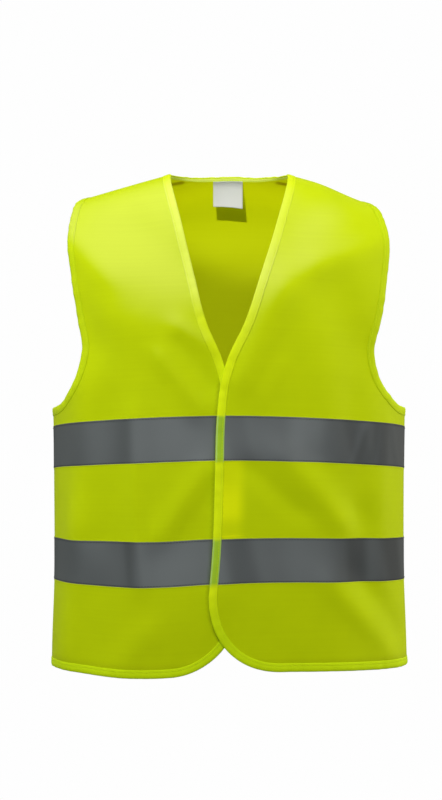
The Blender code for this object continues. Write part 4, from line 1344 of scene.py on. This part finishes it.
def make_stage(back_cloth, back_bands, label):
    """Camera, lights, room and floor. The front lights don't reach the back's cloth. Its inside has two
    lights of its own, one of them a soft-edged beam at the neck, and only the label shades them."""
    scene = bpy.context.scene
    camera = bpy.data.objects.new("camera", bpy.data.cameras.new("camera"))
    camera.data.lens, camera.data.sensor_width = CAMERA_LENS, CAMERA_SENSOR
    camera.location = CAMERA_PLACE
    camera.rotation_euler = (math.pi / 2, 0, 0)
    scene.collection.objects.link(camera)
    scene.camera = camera

    for row in LIGHTS:
        round_light(*row)
    others = [piece for piece in bpy.data.objects if piece.type == "MESH" and piece not in back_cloth]
    fronts = collected("lit from the front", others)
    for row in FRONT_LIGHTS:
        round_light(*row).light_linking.receiver_collection = fronts
    back = round_light(*BACK_LIGHT)
    back.light_linking.receiver_collection = collected("lit from behind", back_cloth + back_bands)
    beam = round_light(*NECK_LIGHT, kind="SPOT")
    beam.data.spot_size, beam.data.spot_blend = NECK_BEAM, NECK_BEAM_BLEND
    lit, shading = collected("inside of the back", back_cloth), collected("shading it", [label])
    for light in (round_light(*INSIDE_LIGHT), beam):
        light.light_linking.receiver_collection = lit
        light.light_linking.blocker_collection = shading

    world = bpy.data.worlds.new("room")
    scene.world = world
    world.use_nodes = True
    world.node_tree.nodes.clear()
    tree = Tree(world.node_tree)
    seen = tree.node("ShaderNodeLightPath").outputs["Is Camera Ray"]
    room, backdrop = (
        tree.node("ShaderNodeBackground", inputs={"Color": (1, 1, 1, 1), "Strength": strength})
        for strength in (ROOM_STRENGTH, BACKDROP_STRENGTH)
    )
    mixed = tree.node("ShaderNodeMixShader", inputs={0: seen, 1: room.outputs[0], 2: backdrop.outputs[0]})
    tree.node("ShaderNodeOutputWorld", inputs={0: mixed.outputs[0]})

    mesh = bpy.data.meshes.new("floor")
    ways = ((-1, -1), (1, -1), (1, 1), (-1, 1))
    corners = [(x * FLOOR_REACH, y * FLOOR_REACH, FLOOR_LEVEL) for x, y in ways]
    mesh.from_pydata(corners, [], [(0, 1, 2, 3)])
    pale = bpy.data.materials.new("pale floor")
    pale.use_nodes = True
    shader = pale.node_tree.nodes["Principled BSDF"]
    shader.inputs["Base Color"].default_value = (0.0, 0.0, 0.0, 1)
    shader.inputs["Specular IOR Level"].default_value = 0.0
    shader.inputs["Emission Color"].default_value = (1, 1, 1, 1)
    shader.inputs["Emission Strength"].default_value = BACKDROP_STRENGTH
    mesh.materials.append(pale)
    floor = bpy.data.objects.new("floor", mesh)
    floor.visible_diffuse = floor.visible_glossy = False
    scene.collection.objects.link(floor)

    scene.view_settings.view_transform = "Standard"
    scene.view_settings.look = "None"


# ------------------------------------------------------------------ the vest


def patch_mark(edge):
    """Where the closure patch behind the left front brightens the cloth, softer on its far side."""
    beside = line_up(edge, BINDING_WIDTH, LOWER_BAND_UP, UPPER_BAND_UP + BAND_WIDTH)

    def mark(flat):
        over = flat[:, 0] - beside(flat[:, 1])
        fade = smoothstep(HOOK_WIDTH - PATCH_FADE[0], HOOK_WIDTH + PATCH_FADE[1], over)
        within = smoothstep(-PATCH_EASE, 0.0, over) * (1 - fade)
        return within * np.interp(flat[:, 1], *zip(*PATCH_GLOW))

    return mark


def lapping_edge(panel, edge):
    """The part of the left front's edge that laps over the right front, as points."""
    beside = edge.at(edge.steps(), FOLD_INSET)
    return panel.points(beside[(beside[:, 0] < LAPPING_ACROSS) & (beside[:, 1] > LAPPING_UP)])


def make_front(hand, edge, armhole, over, binding_rows, band_rows):
    """A front with its bindings, bands and side of the closure. hand is 1 for the left front and -1 for the
    right one. edge and armhole are the left front's, and over is the edge that laps over this front."""
    name = "left" if hand > 0 else "right"
    edges = [edge, armhole] if hand > 0 else [edge.mirrored(), armhole.mirrored()]
    panel = Panel(FRONT, hand * LAP_LIFT, edges)
    patch = patch_mark(edge) if hand > 0 else None
    make_panel(f"front_panel_{name}", panel, front_outline(edge, armhole) * (hand, 1), patch, over)
    for bound, binding in zip(edges, (f"front_binding_{name}", f"armhole_binding_front_{name}")):
        make_binding(binding, panel, bound)
        sew_binding(binding_rows, panel, bound)
    for low, band in ((LOWER_BAND_UP, f"lower_band_{name}"), (UPPER_BAND_UP, f"upper_band_{name}")):
        reach = (low - BAND_SPARE, low + BAND_WIDTH + BAND_SPARE)
        start = line_up(edge, BINDING_WIDTH - BAND_UNDER_BINDING, *reach)
        make_band(band, panel, low, lambda up: hand * start(up), hand * HALF_WIDTH, over)
        sew_band(band_rows, panel, low, hand * (start(low) + BAND_ROW_START), hand * HALF_WIDTH)
    closure, width = ("closure_hook", HOOK_WIDTH) if hand > 0 else ("closure_loop", LOOP_WIDTH)
    make_closure(closure, panel, edges[0], hand, width, -hand * CLOSURE_LIFT)
    return panel


def make_back(binding_rows, band_rows):
    """The back with its bindings, bands, label and seam allowances. Gives back its cloth, bands and label."""
    hem = BoundEdge(smooth_line([(-HALF_WIDTH, 0.0), (HALF_WIDTH, 0.0)]), ((0, 1), (0, 1)))
    armhole, neck = armhole_edge(BACK, BACK_ARMHOLE), back_neck_edge()
    other = armhole.mirrored()
    back = Panel(BACK, 0.0, [hem, armhole, neck, other])
    back_cloth = [make_panel("back_panel", back, back_outline(hem, armhole, neck))]
    bound = {
        "back_hem_binding": hem,
        "back_neck_binding": neck,
        "armhole_binding_back_right": armhole,
        "armhole_binding_back_left": other,
    }
    for name, edge in bound.items():
        back_cloth.append(make_binding(name, back, edge))
        sew_binding(binding_rows, back, edge)
    bands = []
    for low, name in ((LOWER_BAND_UP, "lower_band_back"), (UPPER_BAND_UP, "upper_band_back")):
        bands.append(make_band(name, back, low, lambda up: np.full(up.shape, -HALF_WIDTH), HALF_WIDTH))
        sew_band(band_rows, back, low, -HALF_WIDTH, HALF_WIDTH)
    label = make_label(back, neck)
    for hand, name in ((1, "right"), (-1, "left")):
        back_cloth.append(make_allowance(f"shoulder_allowance_{name}", back, shoulder_allowance(hand)))
        back_cloth.append(make_allowance(f"side_allowance_{name}", back, side_allowance(hand)))
    return back_cloth, bands, label


def main():
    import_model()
    make_finishes()
    binding_rows, band_rows = Stitching(), Stitching()
    edge, armhole = front_edge(), armhole_edge(FRONT, FRONT_ARMHOLE)
    left = make_front(1, edge, armhole, None, binding_rows, band_rows)
    make_front(-1, edge, armhole, lapping_edge(left, edge), binding_rows, band_rows)
    back_cloth, back_bands, label = make_back(binding_rows, band_rows)
    binding_rows.make("binding_stitches", "binding_tape", FINISHES["thread"])
    band_rows.make("band_stitches", "reflective_tape", FINISHES["grey thread"])
    make_stage(back_cloth, back_bands, label)


main()
